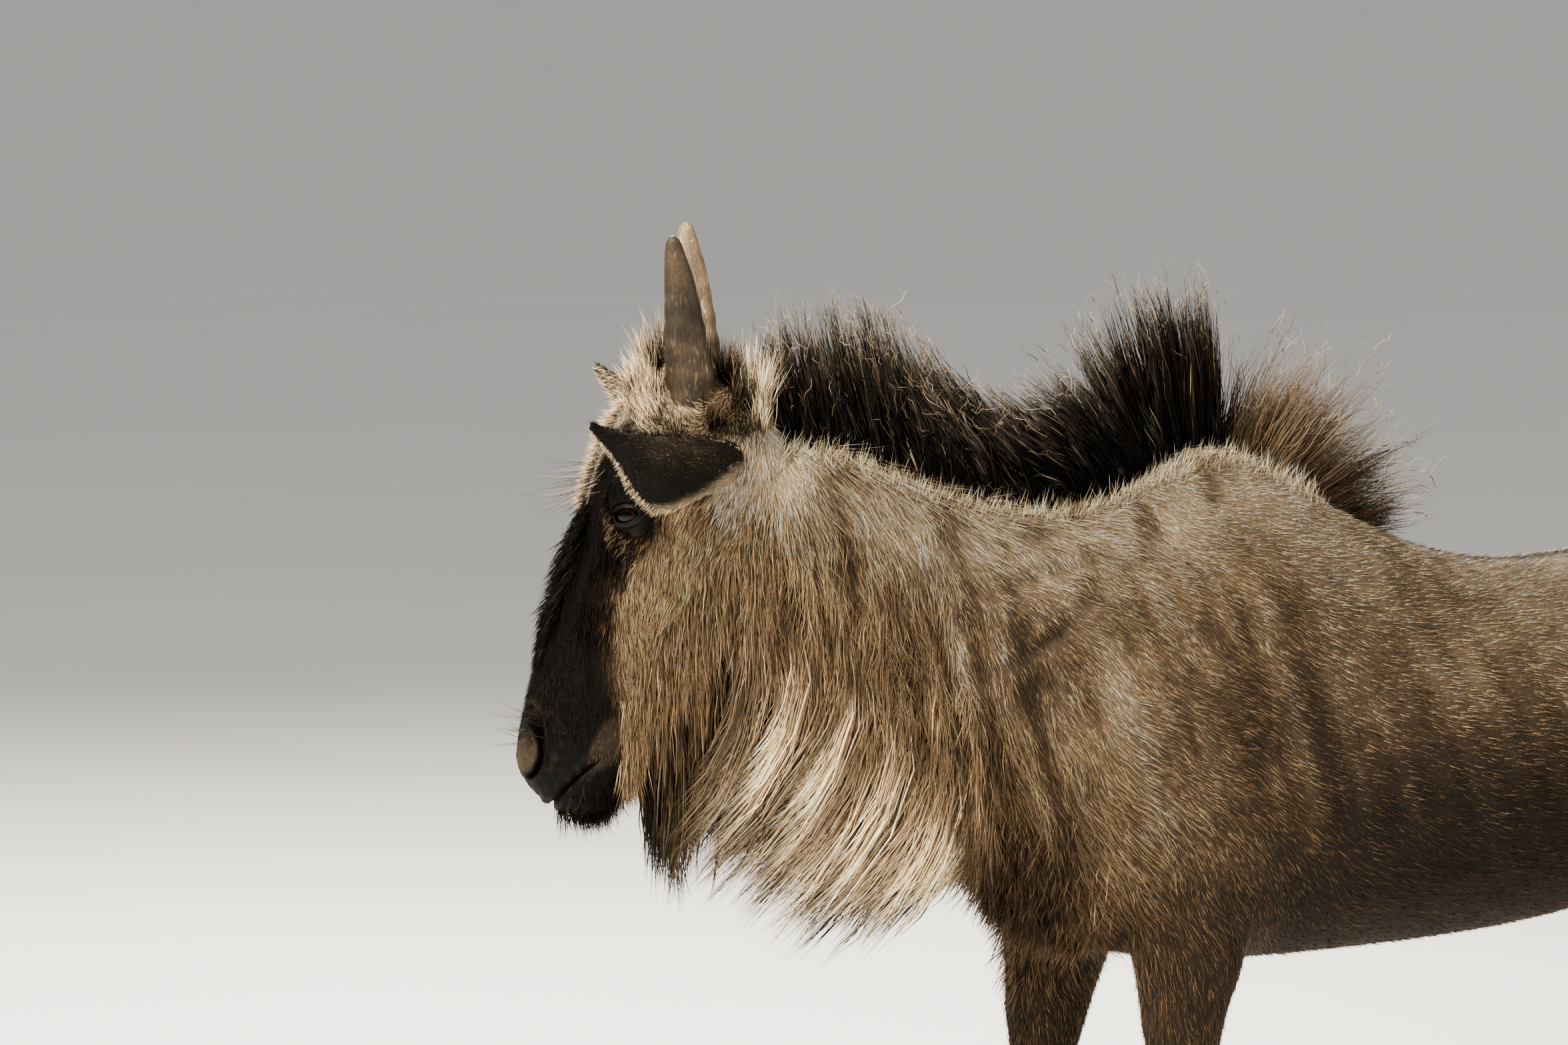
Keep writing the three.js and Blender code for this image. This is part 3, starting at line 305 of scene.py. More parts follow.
# Torso: x, top, bottom, half width, how ridged the back and keel are, and the level of the middle
TORSO = [
    [-258, 722, 640, 26, 2, 2, 0.5], [-248, 790, 598, 60, 2, 2, 0.5], [-214, 860, 562, 88, 1.9, 2, 0.48],
    [-160, 932, 528, 121, 1.75, 2, 0.47], [-90, 992, 512, 138, 1.6, 2.1, 0.46],
    [-20, 1029, 502, 150, 1.55, 2.1, 0.45], [50, 1011, 500, 157, 1.6, 2.1, 0.45],
    [130, 962, 502, 168, 1.7, 2.1, 0.45], [220, 920, 508, 180, 1.8, 2.1, 0.45],
    [320, 900, 518, 187, 1.9, 2.1, 0.45], [420, 902, 536, 184, 1.95, 2.1, 0.47],
    [520, 914, 564, 172, 1.95, 2, 0.5], [600, 913, 612, 158, 1.95, 2, 0.5], [668, 890, 664, 132, 2, 2, 0.5],
    [712, 856, 706, 96, 2, 2, 0.5], [734, 818, 746, 42, 2, 2, 0.5],
]
# Neck: the middle of each section, half its width, and its reach up and down
NECK = [
    [-30, 0, 800, 110, 190, 215], [-95, 0, 798, 128, 188, 236], [-160, 3, 806, 117, 171, 214],
    [-225, 15, 828, 101, 148, 188], [-290, 35, 858, 89, 135, 166], [-350, 58, 892, 80, 127, 160],
    [-405, 82, 930, 76, 116, 154], [-452, 108, 962, 66, 84, 136], [-486, 128, 984, 44, 50, 92],
]
# Head: s, the reach of the face and of the jaw, half the width, how square each is, and the
# level of the middle
HEAD = [
    [-34, 74, 34, 22, 2, 2, 0.5], [-26, 100, 2, 46, 2, 2, 0.5], [-10, 113, -26, 60, 2.1, 2, 0.55],
    [18, 121, -54, 67, 2.1, 2, 0.58], [55, 125, -76, 69, 2.1, 2, 0.6], [90, 124, -88, 67, 2.1, 2, 0.6],
    [125, 119, -92, 64, 2, 2, 0.56], [160, 110, -88, 60, 1.9, 2, 0.5], [200, 102, -80, 53, 1.9, 2, 0.48],
    [240, 97, -71, 46, 2, 2, 0.5], [280, 92, -63, 42, 2.1, 2.1, 0.52], [315, 86, -58, 42, 2.2, 2.2, 0.54],
    [350, 77, -54, 46, 2.3, 2.3, 0.56], [379, 69, -50, 47, 2.4, 2.3, 0.58],
    [398, 59, -44, 43, 2.4, 2.3, 0.58], [410, 42, -32, 34, 2.2, 2.2, 0.55], [417, 22, -14, 17, 2, 2, 0.5],
]
# Swellings of the head over its plain outline: s, y, h, reach and height, alike on both sides
HEAD_SWELLINGS = [
    [100, 60, 82, 26, 13], [122, 64, 62, 22, 10], [60, 70, 62, 26, -6], [128, 58, -30, 52, 9],
    [165, 58, 34, 26, 5], [185, 50, 66, 24, -6], [250, 44, 40, 34, -6], [366, 44, 40, 18, 9],
    [386, 34, 14, 20, 6], [60, 0, 125, 46, 5],
]
# Swellings of the body: x, y, z, reach and height
BODY_SWELLINGS = [
    [-60, 120, 830, 120, 14], [-175, 100, 640, 70, 12], [-70, 120, 640, 95, 18], [75, 160, 760, 70, -9],
    [455, 170, 790, 75, -14], [520, 90, 900, 45, 9], [590, 130, 720, 105, 16], [-225, 0, 560, 60, 12],
    [300, 0, 900, 110, -4],
]
# Legs: x, y, z, half the depth front to back, and half the width
HOOF_TOP = 50.3
FORELEG = [
    [-52, 84, 730, 74, 30], [-54, 80, 660, 88, 38], [-58, 83, 590, 80, 44], [-60, 83, 535, 68, 44],
    [-62, 80, 480, 54, 38], [-64, 78, 420, 41, 32], [-66, 77, 360, 31, 27], [-68, 76, 318, 30, 28.5],
    [-69, 76, 290, 28, 27], [-66, 76, 255, 20, 19.5], [-64, 75, 200, 17.5, 16], [-63, 75, 148, 18.5, 17],
    [-64, 75, 116, 25, 23.5], [-70, 75, 90, 22.5, 22], [-78, 75, 68, 21, 22.5],
    [-86, 75, HOOF_TOP, 27, 27.5],
]
HINDLEG = [
    [590, 78, 850, 90, 34], [584, 92, 780, 112, 46], [568, 98, 700, 122, 52], [556, 98, 620, 108, 54],
    [568, 94, 545, 84, 45], [596, 90, 475, 56, 35], [628, 87, 415, 40, 28], [648, 85, 372, 36, 26],
    [652, 84, 335, 30, 24], [646, 83, 290, 22, 19.5], [638, 82, 220, 19.5, 17], [631, 81, 152, 20, 18],
    [626, 80, 117, 26, 24], [617, 80, 90, 22.5, 22], [608, 80, 68, 21, 22.5], [599, 80, HOOF_TOP, 27, 27.5],
]
# Each leg: its stations, side, how far forward the foot is set, and how far the top is
LEGS = {
    "foreleg_left": (FORELEG, -1, 0, 0),
    "foreleg_right": (FORELEG, 1, -120, -24),
    "hindleg_left": (HINDLEG, -1, 22, 0),
    "hindleg_right": (HINDLEG, 1, -58, -8),
}
# Tail: x and z from its root, and half its width
TAIL_ROOT = np.array([716.0, 0.0, 838.0])
TAIL = [
    [-30, 4, 20], [10, 0, 19], [38, -24, 17.5], [52, -66, 15.5], [58, -120, 13.5], [60, -180, 11.5],
    [60, -240, 10], [59, -292, 7],
]


def swollen(rings, middle, swellings, place_of):
    """Each point of the rings moved out or in by the swellings near it, on both sides."""
    for swelling in swellings:
        reach, height = swelling[3:]
        for side in ((-1, 1) if swelling[1] else (1,)):
            out = unit(rings - middle[:, None])
            away = np.linalg.norm(rings - place_of(swelling, side), axis=-1)
            rings = rings + out * (height * bell(away, reach))[..., None]
    return rings


def torso_shape(grow):
    x, top, bottom, half, ridge, keel, level = read_table(TORSO, places(TORSO, 6)).T
    z = mix(bottom, top, level)
    x[0] -= grow
    x[-1] += grow
    middle = column(x, 0, z)
    rings = rings_of(
        middle, [0, 1, 0], [0, 0, 1], half + grow, top - z + grow, z - bottom + grow, ridge, keel, 72)
    at = lambda swelling, side: np.array([swelling[0], swelling[1] * side, swelling[2]])
    return tube(swollen(rings, middle, BODY_SWELLINGS, at))


def neck_shape(grow):
    place = places(NECK, 6)
    x, y, z, half, rise, drop = read_table(NECK, place).T
    along = unit(read_table(NECK, place + 0.1)[:, :3] - read_table(NECK, place - 0.1)[:, :3])
    side = unit(np.cross([0, 0, 1.0], along))
    up = unit(np.cross(along, side))
    middle = column(x, y, z)
    return tube(rings_of(middle, side, up, half + grow, rise + grow, drop + grow, 1.75, 1.9, 72))


def head_shape(grow):
    s, face, jaw, half, bridge, throat, level = read_table(HEAD, places(HEAD, 8)).T
    h = mix(jaw, face, level)
    middle = head_point(s, 0, h)
    side, up = head_direction(0, 1, 0), head_direction(0, 0, 1)
    rings = rings_of(middle, side, up, half + grow, face - h + grow, h - jaw + grow, bridge, throat, 96)
    at = lambda swelling, side: head_point(swelling[0], swelling[1] * side, swelling[2])
    return tube(swollen(rings, middle, HEAD_SWELLINGS, at))


def leg_stations(name):
    stations, side, step, swing = LEGS[name]
    table = np.array(stations, float)
    lowered = (table[0, 2] - table[:, 2]) / table[0, 2]
    table[:, 0] += mix(swing, step, lowered ** 0.8)
    table[:, 1] *= side
    return table


def leg_shape(name):
    table = leg_stations(name)
    x, y, z, deep, half = read_table(table, places(table, 6)).T
    depth = mix(2.0, 6.0, smooth(260, 480, z))
    middle = column(x, y, z)
    size = half - depth
    return tube(rings_of(middle, [1, 0, 0], [0, 1, 0], deep - depth, size, size, 2.1, 2.1, 40))


def tail_middle(place):
    x, z, half = read_table(TAIL, place).T
    return TAIL_ROOT + column(x, 0, z), half


def tail_shape(grow):
    place = places(TAIL, 6)
    middle, half = tail_middle(place)
    along = unit(tail_middle(place + 0.1)[0] - tail_middle(place - 0.1)[0])
    side = np.array([0, 1.0, 0])
    up = unit(np.cross(along, side))
    return tube(rings_of(middle, side, up, half + grow, half + grow, half + grow, 2, 2, 24))


# Ears: how far along, half the width of the leaf, how far it wraps round, and its lift
EAR_LENGTH = 186
EAR = [
    [0, 19, 150, 4], [0.14, 27, 118, 0], [0.32, 35, 88, -8], [0.5, 37, 70, -12], [0.66, 28, 60, -8],
    [0.8, 16, 52, 0], [0.91, 7.5, 46, 6], [1, 3.5, 30, 12],
]
EARS = {"left": (-1, (127, 117, 40)), "right": (1, (170, 62, 60))}


def ear_frame(word):
    side, (back, out, up) = EARS[word]
    root = head_point(22, side * 60, -4)
    along = head_turned(-back, side * out, up)
    upward = unit(np.array([0, 0, 1.0]) - along * along[2])
    opening = unit(np.cross(along, upward)) * -side
    return root, along, upward, opening


def ear_grid(word, place, edge, lift_off=0.0, thickness=3.0):
    """Points of the ear's leaf: how far along, and from -1 at one edge to 1 at the other."""
    root, along, upward, opening = ear_frame(word)
    t, half, wrap, lift = read_table(EAR, place).T
    turn = np.radians(wrap)
    radius = half / np.sin(np.minimum(turn, math.pi / 2))
    angle = turn * edge
    low = np.where(edge < 0, mix(1.25, 0.985, smooth(-0.4, 0, edge)), mix(0.985, 0.72, smooth(0, 0.4, edge)))
    thick = thickness * (0.35 + 0.65 * np.cos(edge * math.pi / 2))
    r = radius + lift_off * thick / 2
    ripple = 1.2 * np.sin(t * 19 + edge * 5) * np.abs(edge) ** 2
    high = r * np.sin(angle) * low + lift
    deep = radius * 0.55 - r * np.cos(angle) + ripple
    return root + along * (t * EAR_LENGTH)[:, None] + upward * high[:, None] + opening * deep[:, None]


def ear_rows(rows, columns):
    """Places along the ear's leaf and across it, as a grid."""
    return np.meshgrid(np.linspace(0, len(EAR) - 1, rows), np.linspace(-1, 1, columns), indexing="ij")


def ear_shape(word):
    place, edge = ear_rows(50, 25)
    count = place.size
    points = np.vstack([ear_grid(word, place.ravel(), edge.ravel(), lift) for lift in (-1, 1)])
    index = np.arange(count).reshape(place.shape)
    sheet = np.stack([index[:-1, :-1], index[:-1, 1:], index[1:, 1:], index[1:, :-1]], -1).reshape(-1, 4)
    rim = np.concatenate([index[0, :-1], index[:-1, -1], index[-1, :0:-1], index[:0:-1, 0]])
    ahead = np.roll(rim, -1)
    quads = np.vstack([sheet, sheet[:, ::-1] + count, np.stack([ahead, rim, rim + count, ahead + count], -1)])
    return points, quads[:, ::-1] if inside_out(points, quads) else quads


def remeshed(name, parts, size):
    """One closed surface over parts that run into one another."""
    mesh = mesh_of(name, *together(parts))
    obj = object_of(name, mesh)
    modifier = obj.modifiers.new("one surface", "REMESH")
    modifier.mode = "VOXEL"
    modifier.voxel_size = size / 1000
    result = evaluated(obj)
    bpy.data.objects.remove(obj)
    return result


def to_line(points, line):
    """Distance from points to a bent line, and how far along it the nearest place is, from 0 to 1."""
    line = np.asarray(line, float)
    best = np.full(len(points), 1e9)
    place = np.zeros(len(points))
    steps = np.linalg.norm(np.diff(line, axis=0), axis=1)
    passed = np.concatenate([[0], np.cumsum(steps)])
    for a, b, start, step in zip(line[:-1], line[1:], passed, steps):
        t = np.clip(((points - a) @ (b - a)) / step ** 2, 0, 1)
        away = np.linalg.norm(points - a - t[:, None] * (b - a), axis=1)
        nearer = away < best
        best = np.where(nearer, away, best)
        place = np.where(nearer, (start + t * step) / passed[-1], place)
    return best, place


# Lines of the skin of the neck: a ridge, also painted as a pale line in the coat as a painted highlight on
# its edge, and creases that also show as dark lines in the coat, painted as shade in the folds
NECK_RIDGE = [
    [-276, -2, 985], [-282, -10, 970], [-293, -38, 921], [-296, -51, 877], [-296, -56, 825], [-292, -50, 780],
]
NECK_CREASES = [
    [[-316, -22, 960], [-328, -40, 900], [-330, -44, 840]],
    [[-275, -57, 883], [-235, -63, 895], [-193, -66, 906], [-150, -68, 918]],
    [[-272, -66, 806], [-242, -78, 822], [-203, -86, 847], [-167, -86, 874]],
    [[-330, 132, 960], [-318, 140, 900], [-300, 132, 830]],
    [[-290, 122, 950], [-276, 128, 880], [-262, 124, 810]],
]
# Folds that both sides of the body have
SIDE_FOLDS = [
    ([[-120, 140, 960], [-60, 146, 860], [-30, 150, 760], [-70, 140, 660]], 16, 4),
    ([[40, 160, 700], [10, 140, 620], [-10, 120, 560]], 14, -5),
    ([[470, 150, 700], [440, 160, 760], [445, 150, 820]], 20, -6),
]
# Each fold: its line, its half width and its height
BODY_FOLDS = [
    (NECK_RIDGE, 15, 7), (NECK_CREASES[0], 12, -3), (NECK_CREASES[1], 12, -4.5), (NECK_CREASES[2], 13, -5.5),
    ([[-250, -72, 770], [-224, -85, 809], [-214, -86, 830]], 14, -4),
    ([[-262, -66, 850], [-215, -75, 868], [-165, -80, 892]], 14, 4),
    (NECK_CREASES[3], 10, -5), (NECK_CREASES[4], 11, -5),
    ([[-248, 112, 930], [-236, 120, 860], [-226, 116, 800]], 12, -4),
] + [
    ([[x, side * y, z] for x, y, z in line], reach, height)
    for line, reach, height in SIDE_FOLDS
    for side in (-1, 1)
]
# Bumps of a leg's bones and tendons: height, place forward and outward in half widths, reach and height
BONES = {
    "fore": [
        (560, 0.2, 0.9, 34, 5), (500, 0.9, 0.4, 24, 3), (455, -0.8, 0.5, 24, 3), (330, -0.6, 0.8, 12, 2.5),
        (300, -0.7, 0.7, 11, 2.5), (312, 1.0, 0, 14, 3), (275, 1.0, 0, 12, -1.5), (200, 0, 1.0, 40, -2.2),
        (160, -0.55, 0.9, 30, -1.5), (112, -0.9, 0.4, 13, 3), (112, 0.3, 0.9, 12, 2), (66, 0.2, 1, 12, 2),
    ],
    "hind": [
        (640, -0.2, 0.95, 60, 5), (560, 0.9, 0.6, 40, 4), (500, -0.8, 0.7, 34, 4),
        (455, -0.2, 0.95, 24, -3.5),
        (395, 0.85, 0, 17, 5), (360, 0.2, 1, 14, 3), (345, -0.9, 0.3, 14, 2), (300, 0.2, 0.95, 22, -1.6),
        (210, 0, 1.0, 40, -2.2), (112, -0.9, 0.4, 13, 3), (112, 0.3, 0.9, 12, 2), (66, 0.2, 1, 12, 2),
    ],
}


def shape_body(points, normals):
    """Folds of the neck, muscles, ribs, and the bones and tendons of the legs."""
    lift = np.zeros(len(points))
    for line, reach, height in BODY_FOLDS:
        away, place = to_line(points, line)
        lift += height * bell(away, reach) * np.sin(math.pi * np.clip(place, 0.08, 0.92))
    x, y, z = points.T
    ribs = smooth(120, 190, x) * (1 - smooth(400, 470, x)) * smooth(560, 640, z) * (1 - smooth(800, 880, z))
    lift += 1.6 * ribs * np.sin((x + 0.35 * (z - 700)) / 42 * 2 * math.pi)
    lift += 1.8 * noise(points, 90, 3) * smooth(450, 600, z)
    for name in LEGS:
        table = leg_stations(name)
        side = LEGS[name][1]
        near = smooth(0, 20, y * side)
        for height, forward, out, reach, swell in BONES[name[:4]]:
            place = np.interp(-height, -table[:, 2], np.arange(len(table)))
            cx, cy, cz, deep, half = read_table(table, place)[0]
            bone = np.array([cx + forward * deep, cy + out * half * side, cz])
            lift += swell * bell(np.linalg.norm(points - bone, axis=1), reach) * near
    return points + normals * lift[:, None]


# Eyes
EYE_RADIUS = 17.0
EYE_ALONG, EYE_HEIGHT = 116, 66


def eye_centre(side):
    return head_point(EYE_ALONG, side * 53, EYE_HEIGHT)


def eye_frame(side):
    """The centre of an eye, the way it looks, and the directions along and across its lids."""
    gaze = head_direction(0.16, side * 0.92, 0.34)
    long = head_direction(0.66, 0, 0.75)
    across = unit(np.cross(gaze, long))
    return eye_centre(side), gaze, unit(np.cross(across, gaze)), across


# The nostril's slit: s, h and half its width
NOSTRIL = np.array([
    [338, 70, 2.5], [344, 63, 6.0], [351, 52, 4.6], [361, 42, 2.8], [375, 36, 2.2], [388, 35, 1.8],
    [396, 38, 1.0],
])


def nostril_distance(s, h):
    """How far places are from the line of the nostril, half its width there and how far along it they are."""
    slit, place = to_line(np.c_[s, h, 0 * s], np.c_[NOSTRIL[:, :2], np.zeros(len(NOSTRIL))])
    return slit, np.interp(place, np.linspace(0, 1, len(NOSTRIL)), NOSTRIL[:, 2]), place


def shape_head(points, normals):
    """Eye sockets, nostrils, lips, cheek and brow folds."""
    s, y, h = head_measures(points).T
    lift = 0.8 * noise(points, 24, 5) + 0.9 * noise(points, 6, 36) * smooth(322, 345, s)

    slit, wide, place = nostril_distance(s, h)
    on_side = smooth(18, 30, np.abs(y))
    lift -= on_side * (9 + wide) * (1 - smooth(0.25, 1.0, slit / (wide + 1.5)))
    lift += on_side * 3.2 * bell(slit - wide * 1.7, 4) * smooth(0.02, 0.2, place)

    mouth = mouth_height(s, y)
    back = smooth(346, 356, s)
    lift -= back * 7 * bell(h - mouth, 2.0)
    lift += back * 2.4 * bell(h - mouth - 7, 5) + back * 2.0 * bell(h - mouth + 8, 5)
    lift -= 2.2 * bell(y, 2.2) * smooth(372, 392, s) * smooth(2, 12, h)
    corner = np.linalg.norm(np.stack([s - 352, h - mouth], -1), axis=1)
    lift -= 2.5 * bell(corner, 9) * smooth(20, 30, np.abs(y))

    for fold, reach, height in HEAD_FOLDS:
        away, place = to_line(np.c_[s, np.abs(y), h], fold)
        lift += height * bell(away, reach) * np.sin(math.pi * np.clip(place, 0.1, 0.9))
    points = points + normals * lift[:, None]

    for side in (-1, 1):
        centre, gaze, long, across = eye_frame(side)
        away = points - centre
        depth = away @ gaze
        a, b = away @ long, away @ across
        round_it = np.hypot(a / 16.5, b / 11.5)
        inside = (1 - smooth(0.75, 1.15, round_it)) * (depth > 0)
        floor = np.sqrt(np.maximum(EYE_RADIUS ** 2 - a ** 2 - b ** 2, 0)) - 5
        push = np.minimum(floor - depth, 0) * inside
        points = points + gaze * push[:, None]
    return points


def mouth_height(s, y):
    t = np.clip((s - 352) / 78, 0, 1)
    return mix(-16, 12, t ** 0.8) + 5 * (y / 62) ** 2


# Folds of the face, alike on both sides: a line in the head's own measures, its half width and its height
HEAD_FOLDS = [
    ([[84, 56, 98], [104, 62, 94], [128, 64, 86], [146, 60, 76]], 7, 3.5),
    ([[92, 62, 56], [112, 68, 46], [134, 66, 46], [150, 60, 56]], 5, -2.5),
    ([[146, 60, 60], [166, 57, 56], [186, 53, 54]], 6, -3.5),
    ([[100, 67, 38], [124, 70, 34], [150, 66, 38]], 6, 2.2),
    ([[150, 62, 30], [200, 55, 24], [250, 47, 18], [300, 42, 12]], 8, 2.6),
    ([[170, 50, -20], [220, 46, -28], [270, 42, -24]], 12, -2.8),
    ([[262, 34, 74], [300, 33, 66], [330, 36, 58]], 8, -2.4),
    ([[334, 30, 78], [352, 40, 70], [368, 46, 58], [384, 42, 34]], 7, 3.0),
    ([[346, 46, 20], [336, 44, 0], [330, 44, -20], [338, 40, -38]], 6, -2.2),
    ([[356, 46, -22], [376, 46, -20], [396, 40, -14]], 8, 2.6),
]


def joined_skin(base, others):
    """The body's surface joined with the head's and the ears' by solid unions."""
    obj = object_of("skin", base)
    for mesh in others:
        tool = object_of("joined part", mesh)
        modifier = obj.modifiers.new("join", "BOOLEAN")
        modifier.operation = "UNION"
        modifier.solver = "MANIFOLD"
        modifier.object = tool
        result = evaluated(obj)
        obj.modifiers.clear()
        obj.data = result
        bpy.data.objects.remove(tool)
    return obj


def tree_of(points):
    """A tree that finds the nearest of some points."""
    tree = KDTree(len(points))
    for i, p in enumerate(points):
        tree.insert(p, i)
    tree.balance()
    return tree


def nearest(source, points):
    """Index of, and distance to, the nearest of some points for each of some others."""
    find = tree_of(source).find
    found = [find(p) for p in points]
    return np.array([f[1] for f in found]), np.array([f[2] for f in found])


BODY, HEADPART, EARPART = 0, 1, 2


def make_skin(settings):
    """The body's, head's and ears' surfaces, shaped one by one and then joined with soft seams."""
    body_parts = [torso_shape(-settings.coat_depth), neck_shape(-settings.coat_depth), tail_shape(-1.5)]
    body = remeshed("body", body_parts + [leg_shape(name) for name in LEGS], settings.body_detail)
    points, edges = points_of(body), edges_of(body)
    trunk = smooth(430, 620, points[:, 2]) * (1 - smooth(690, 715, points[:, 0]))
    points = relax(points, edges, 26, trunk)
    points = relax(points, edges, 6, back=PUSH_BACK)
    move_points(body, points)
    move_points(body, shape_body(points, normals_of(body)))

    head = remeshed("head", [head_shape(-settings.face_depth)], settings.head_detail)
    move_points(head, relax(points_of(head), edges_of(head), 4, back=PUSH_BACK))
    finer_head(head)
    points = relax(points_of(head), edges_of(head), 2, back=PUSH_BACK)
    move_points(head, points)
    move_points(head, shape_head(points, normals_of(head)))

    ears = [mesh_of(f"ear {word}", *ear_shape(word)) for word in EARS]
    sources = [points_of(body), points_of(head), np.vstack([points_of(ear) for ear in ears])]
    skin = joined_skin(body, [head] + ears)
    mesh = skin.data
    points = points_of(mesh)
    away = np.stack([nearest(source, points)[1] for source in sources], -1)
    seam = 1 - smooth(8, 20, np.sort(away, axis=1)[:, 1])
    move_points(mesh, relax(points, edges_of(mesh), 14, seam))
    shade_smooth(mesh)
    keep_value(mesh, "part", np.argmin(away, axis=1))
    unwrap(skin)
    read_skin(skin)
    return skin


def finer_head(mesh):
    """Smaller faces round the muzzle and the eyes, where the folds are fine."""
    work = bmesh.new()
    work.from_mesh(mesh)
    places_now = points_of(mesh)
    fine = head_measures(places_now)[:, 0] > 326
    for side in (-1, 1):
        fine |= np.linalg.norm(places_now - eye_centre(side), axis=1) < 34
    work.verts.ensure_lookup_table()
    edges = [e for e in work.edges if fine[e.verts[0].index] and fine[e.verts[1].index]]
    bmesh.ops.subdivide_edges(work, edges=edges, cuts=1, use_grid_fill=True)
    bmesh.ops.triangulate(work, faces=[f for f in work.faces if len(f.verts) > 4])
    work.to_mesh(mesh)
    work.free()


def unwrap(skin):
    """The unwrap of the skin's own shape, which the coat's patches lie on too."""
    bpy.ops.object.select_all(action="DESELECT")
    bpy.context.view_layer.objects.active = skin
    skin.select_set(True)
    skin.data.uv_layers.new(name="OFBake")
    bpy.ops.object.mode_set(mode="EDIT")
    bpy.ops.mesh.select_all(action="SELECT")
    bpy.ops.uv.smart_project(angle_limit=math.radians(70), island_margin=0.002)
    bpy.ops.object.mode_set(mode="OBJECT")
    skin.select_set(False)


def read_skin(skin):
    """Arrays of the skin that the coat grows from."""
    mesh = skin.data
    mesh.calc_loop_triangles()
    corners, loops = (read_all(mesh.loop_triangles, key, 3, np.int32) for key in ("vertices", "loops"))
    uv = read_all(mesh.uv_layers["OFBake"].uv, "vector", 2)
    points = points_of(mesh)
    a, b, c = (points[corners[:, k]] for k in (0, 1, 2))
    vertex_uv = np.zeros((len(points), 2))
    vertex_uv[corners.ravel()] = uv[loops.ravel()]
    made["skin"] = {
        "points": points, "normals": normals_of(mesh), "corners": corners, "uv": uv[loops],
        "part": read_all(mesh.attributes["part"].data, "value", 1)[:, 0], "vertex_uv": vertex_uv,
        "area": np.linalg.norm(np.cross(b - a, c - a), axis=1) / 2,
    }
    made["tree"] = tree_of(points)


def skin_near(points):
    """Index of the skin's nearest point to each of some points."""
    find = made["tree"].find
    return [find(p)[1] for p in points]


def onto_skin(points, sink):
    """Each point moved to the skin's nearest point, and in by that depth."""
    index = skin_near(points)
    return made["skin"]["points"][index] - made["skin"]["normals"][index] * sink


def sample_skin(rng, count):
    """Roots spread evenly over the skin: place, normal, unwrap place and part."""
    skin = made["skin"]
    share = skin["area"] / skin["area"].sum()
    triangle = rng.choice(len(share), count, p=share)
    u, v = rng.random(count), rng.random(count)
    over = u + v > 1
    u[over], v[over] = 1 - u[over], 1 - v[over]
    weights = np.stack([1 - u - v, u, v], -1)[..., None]
    corners = skin["corners"][triangle]
    place = (skin["points"][corners] * weights).sum(1)
    normal = unit((skin["normals"][corners] * weights).sum(1))
    uv = (skin["uv"][triangle] * weights).sum(1)
    part = skin["part"][corners[:, 0]]
    _, _, size, share = coat_measures(place, part)
    level = np.round(np.log2(size) * 4)
    key = np.floor(place / (2 ** (level / 4))[:, None]).astype(np.int64)
    key = (key[:, 0] * 73856093) ^ (key[:, 1] * 19349663) ^ (key[:, 2] * 83492791)
    key = key * 131 + level.astype(np.int64)
    _, first = np.unique(key, return_index=True)
    first = np.sort(first)
    first = first[rng.random(len(first)) < share[first]]
    return place[first], normal[first], uv[first], part[first]


# Colours of the coat, as the eye sees them in soft light
def tone_of(name):
    return np.array(getattr(bpy.context.scene.wildebeest_colours, name)[:3])


def laid(base, *layers):
    """A colour with tones laid over it, each by its own share."""
    for tone, share in layers:
        base = mix(base, tone, np.clip(share, 0, 1)[:, None])
    return base


def coat_tones():
    return (tone_of(name) for name in ("hide", "pale", "dark", "black"))


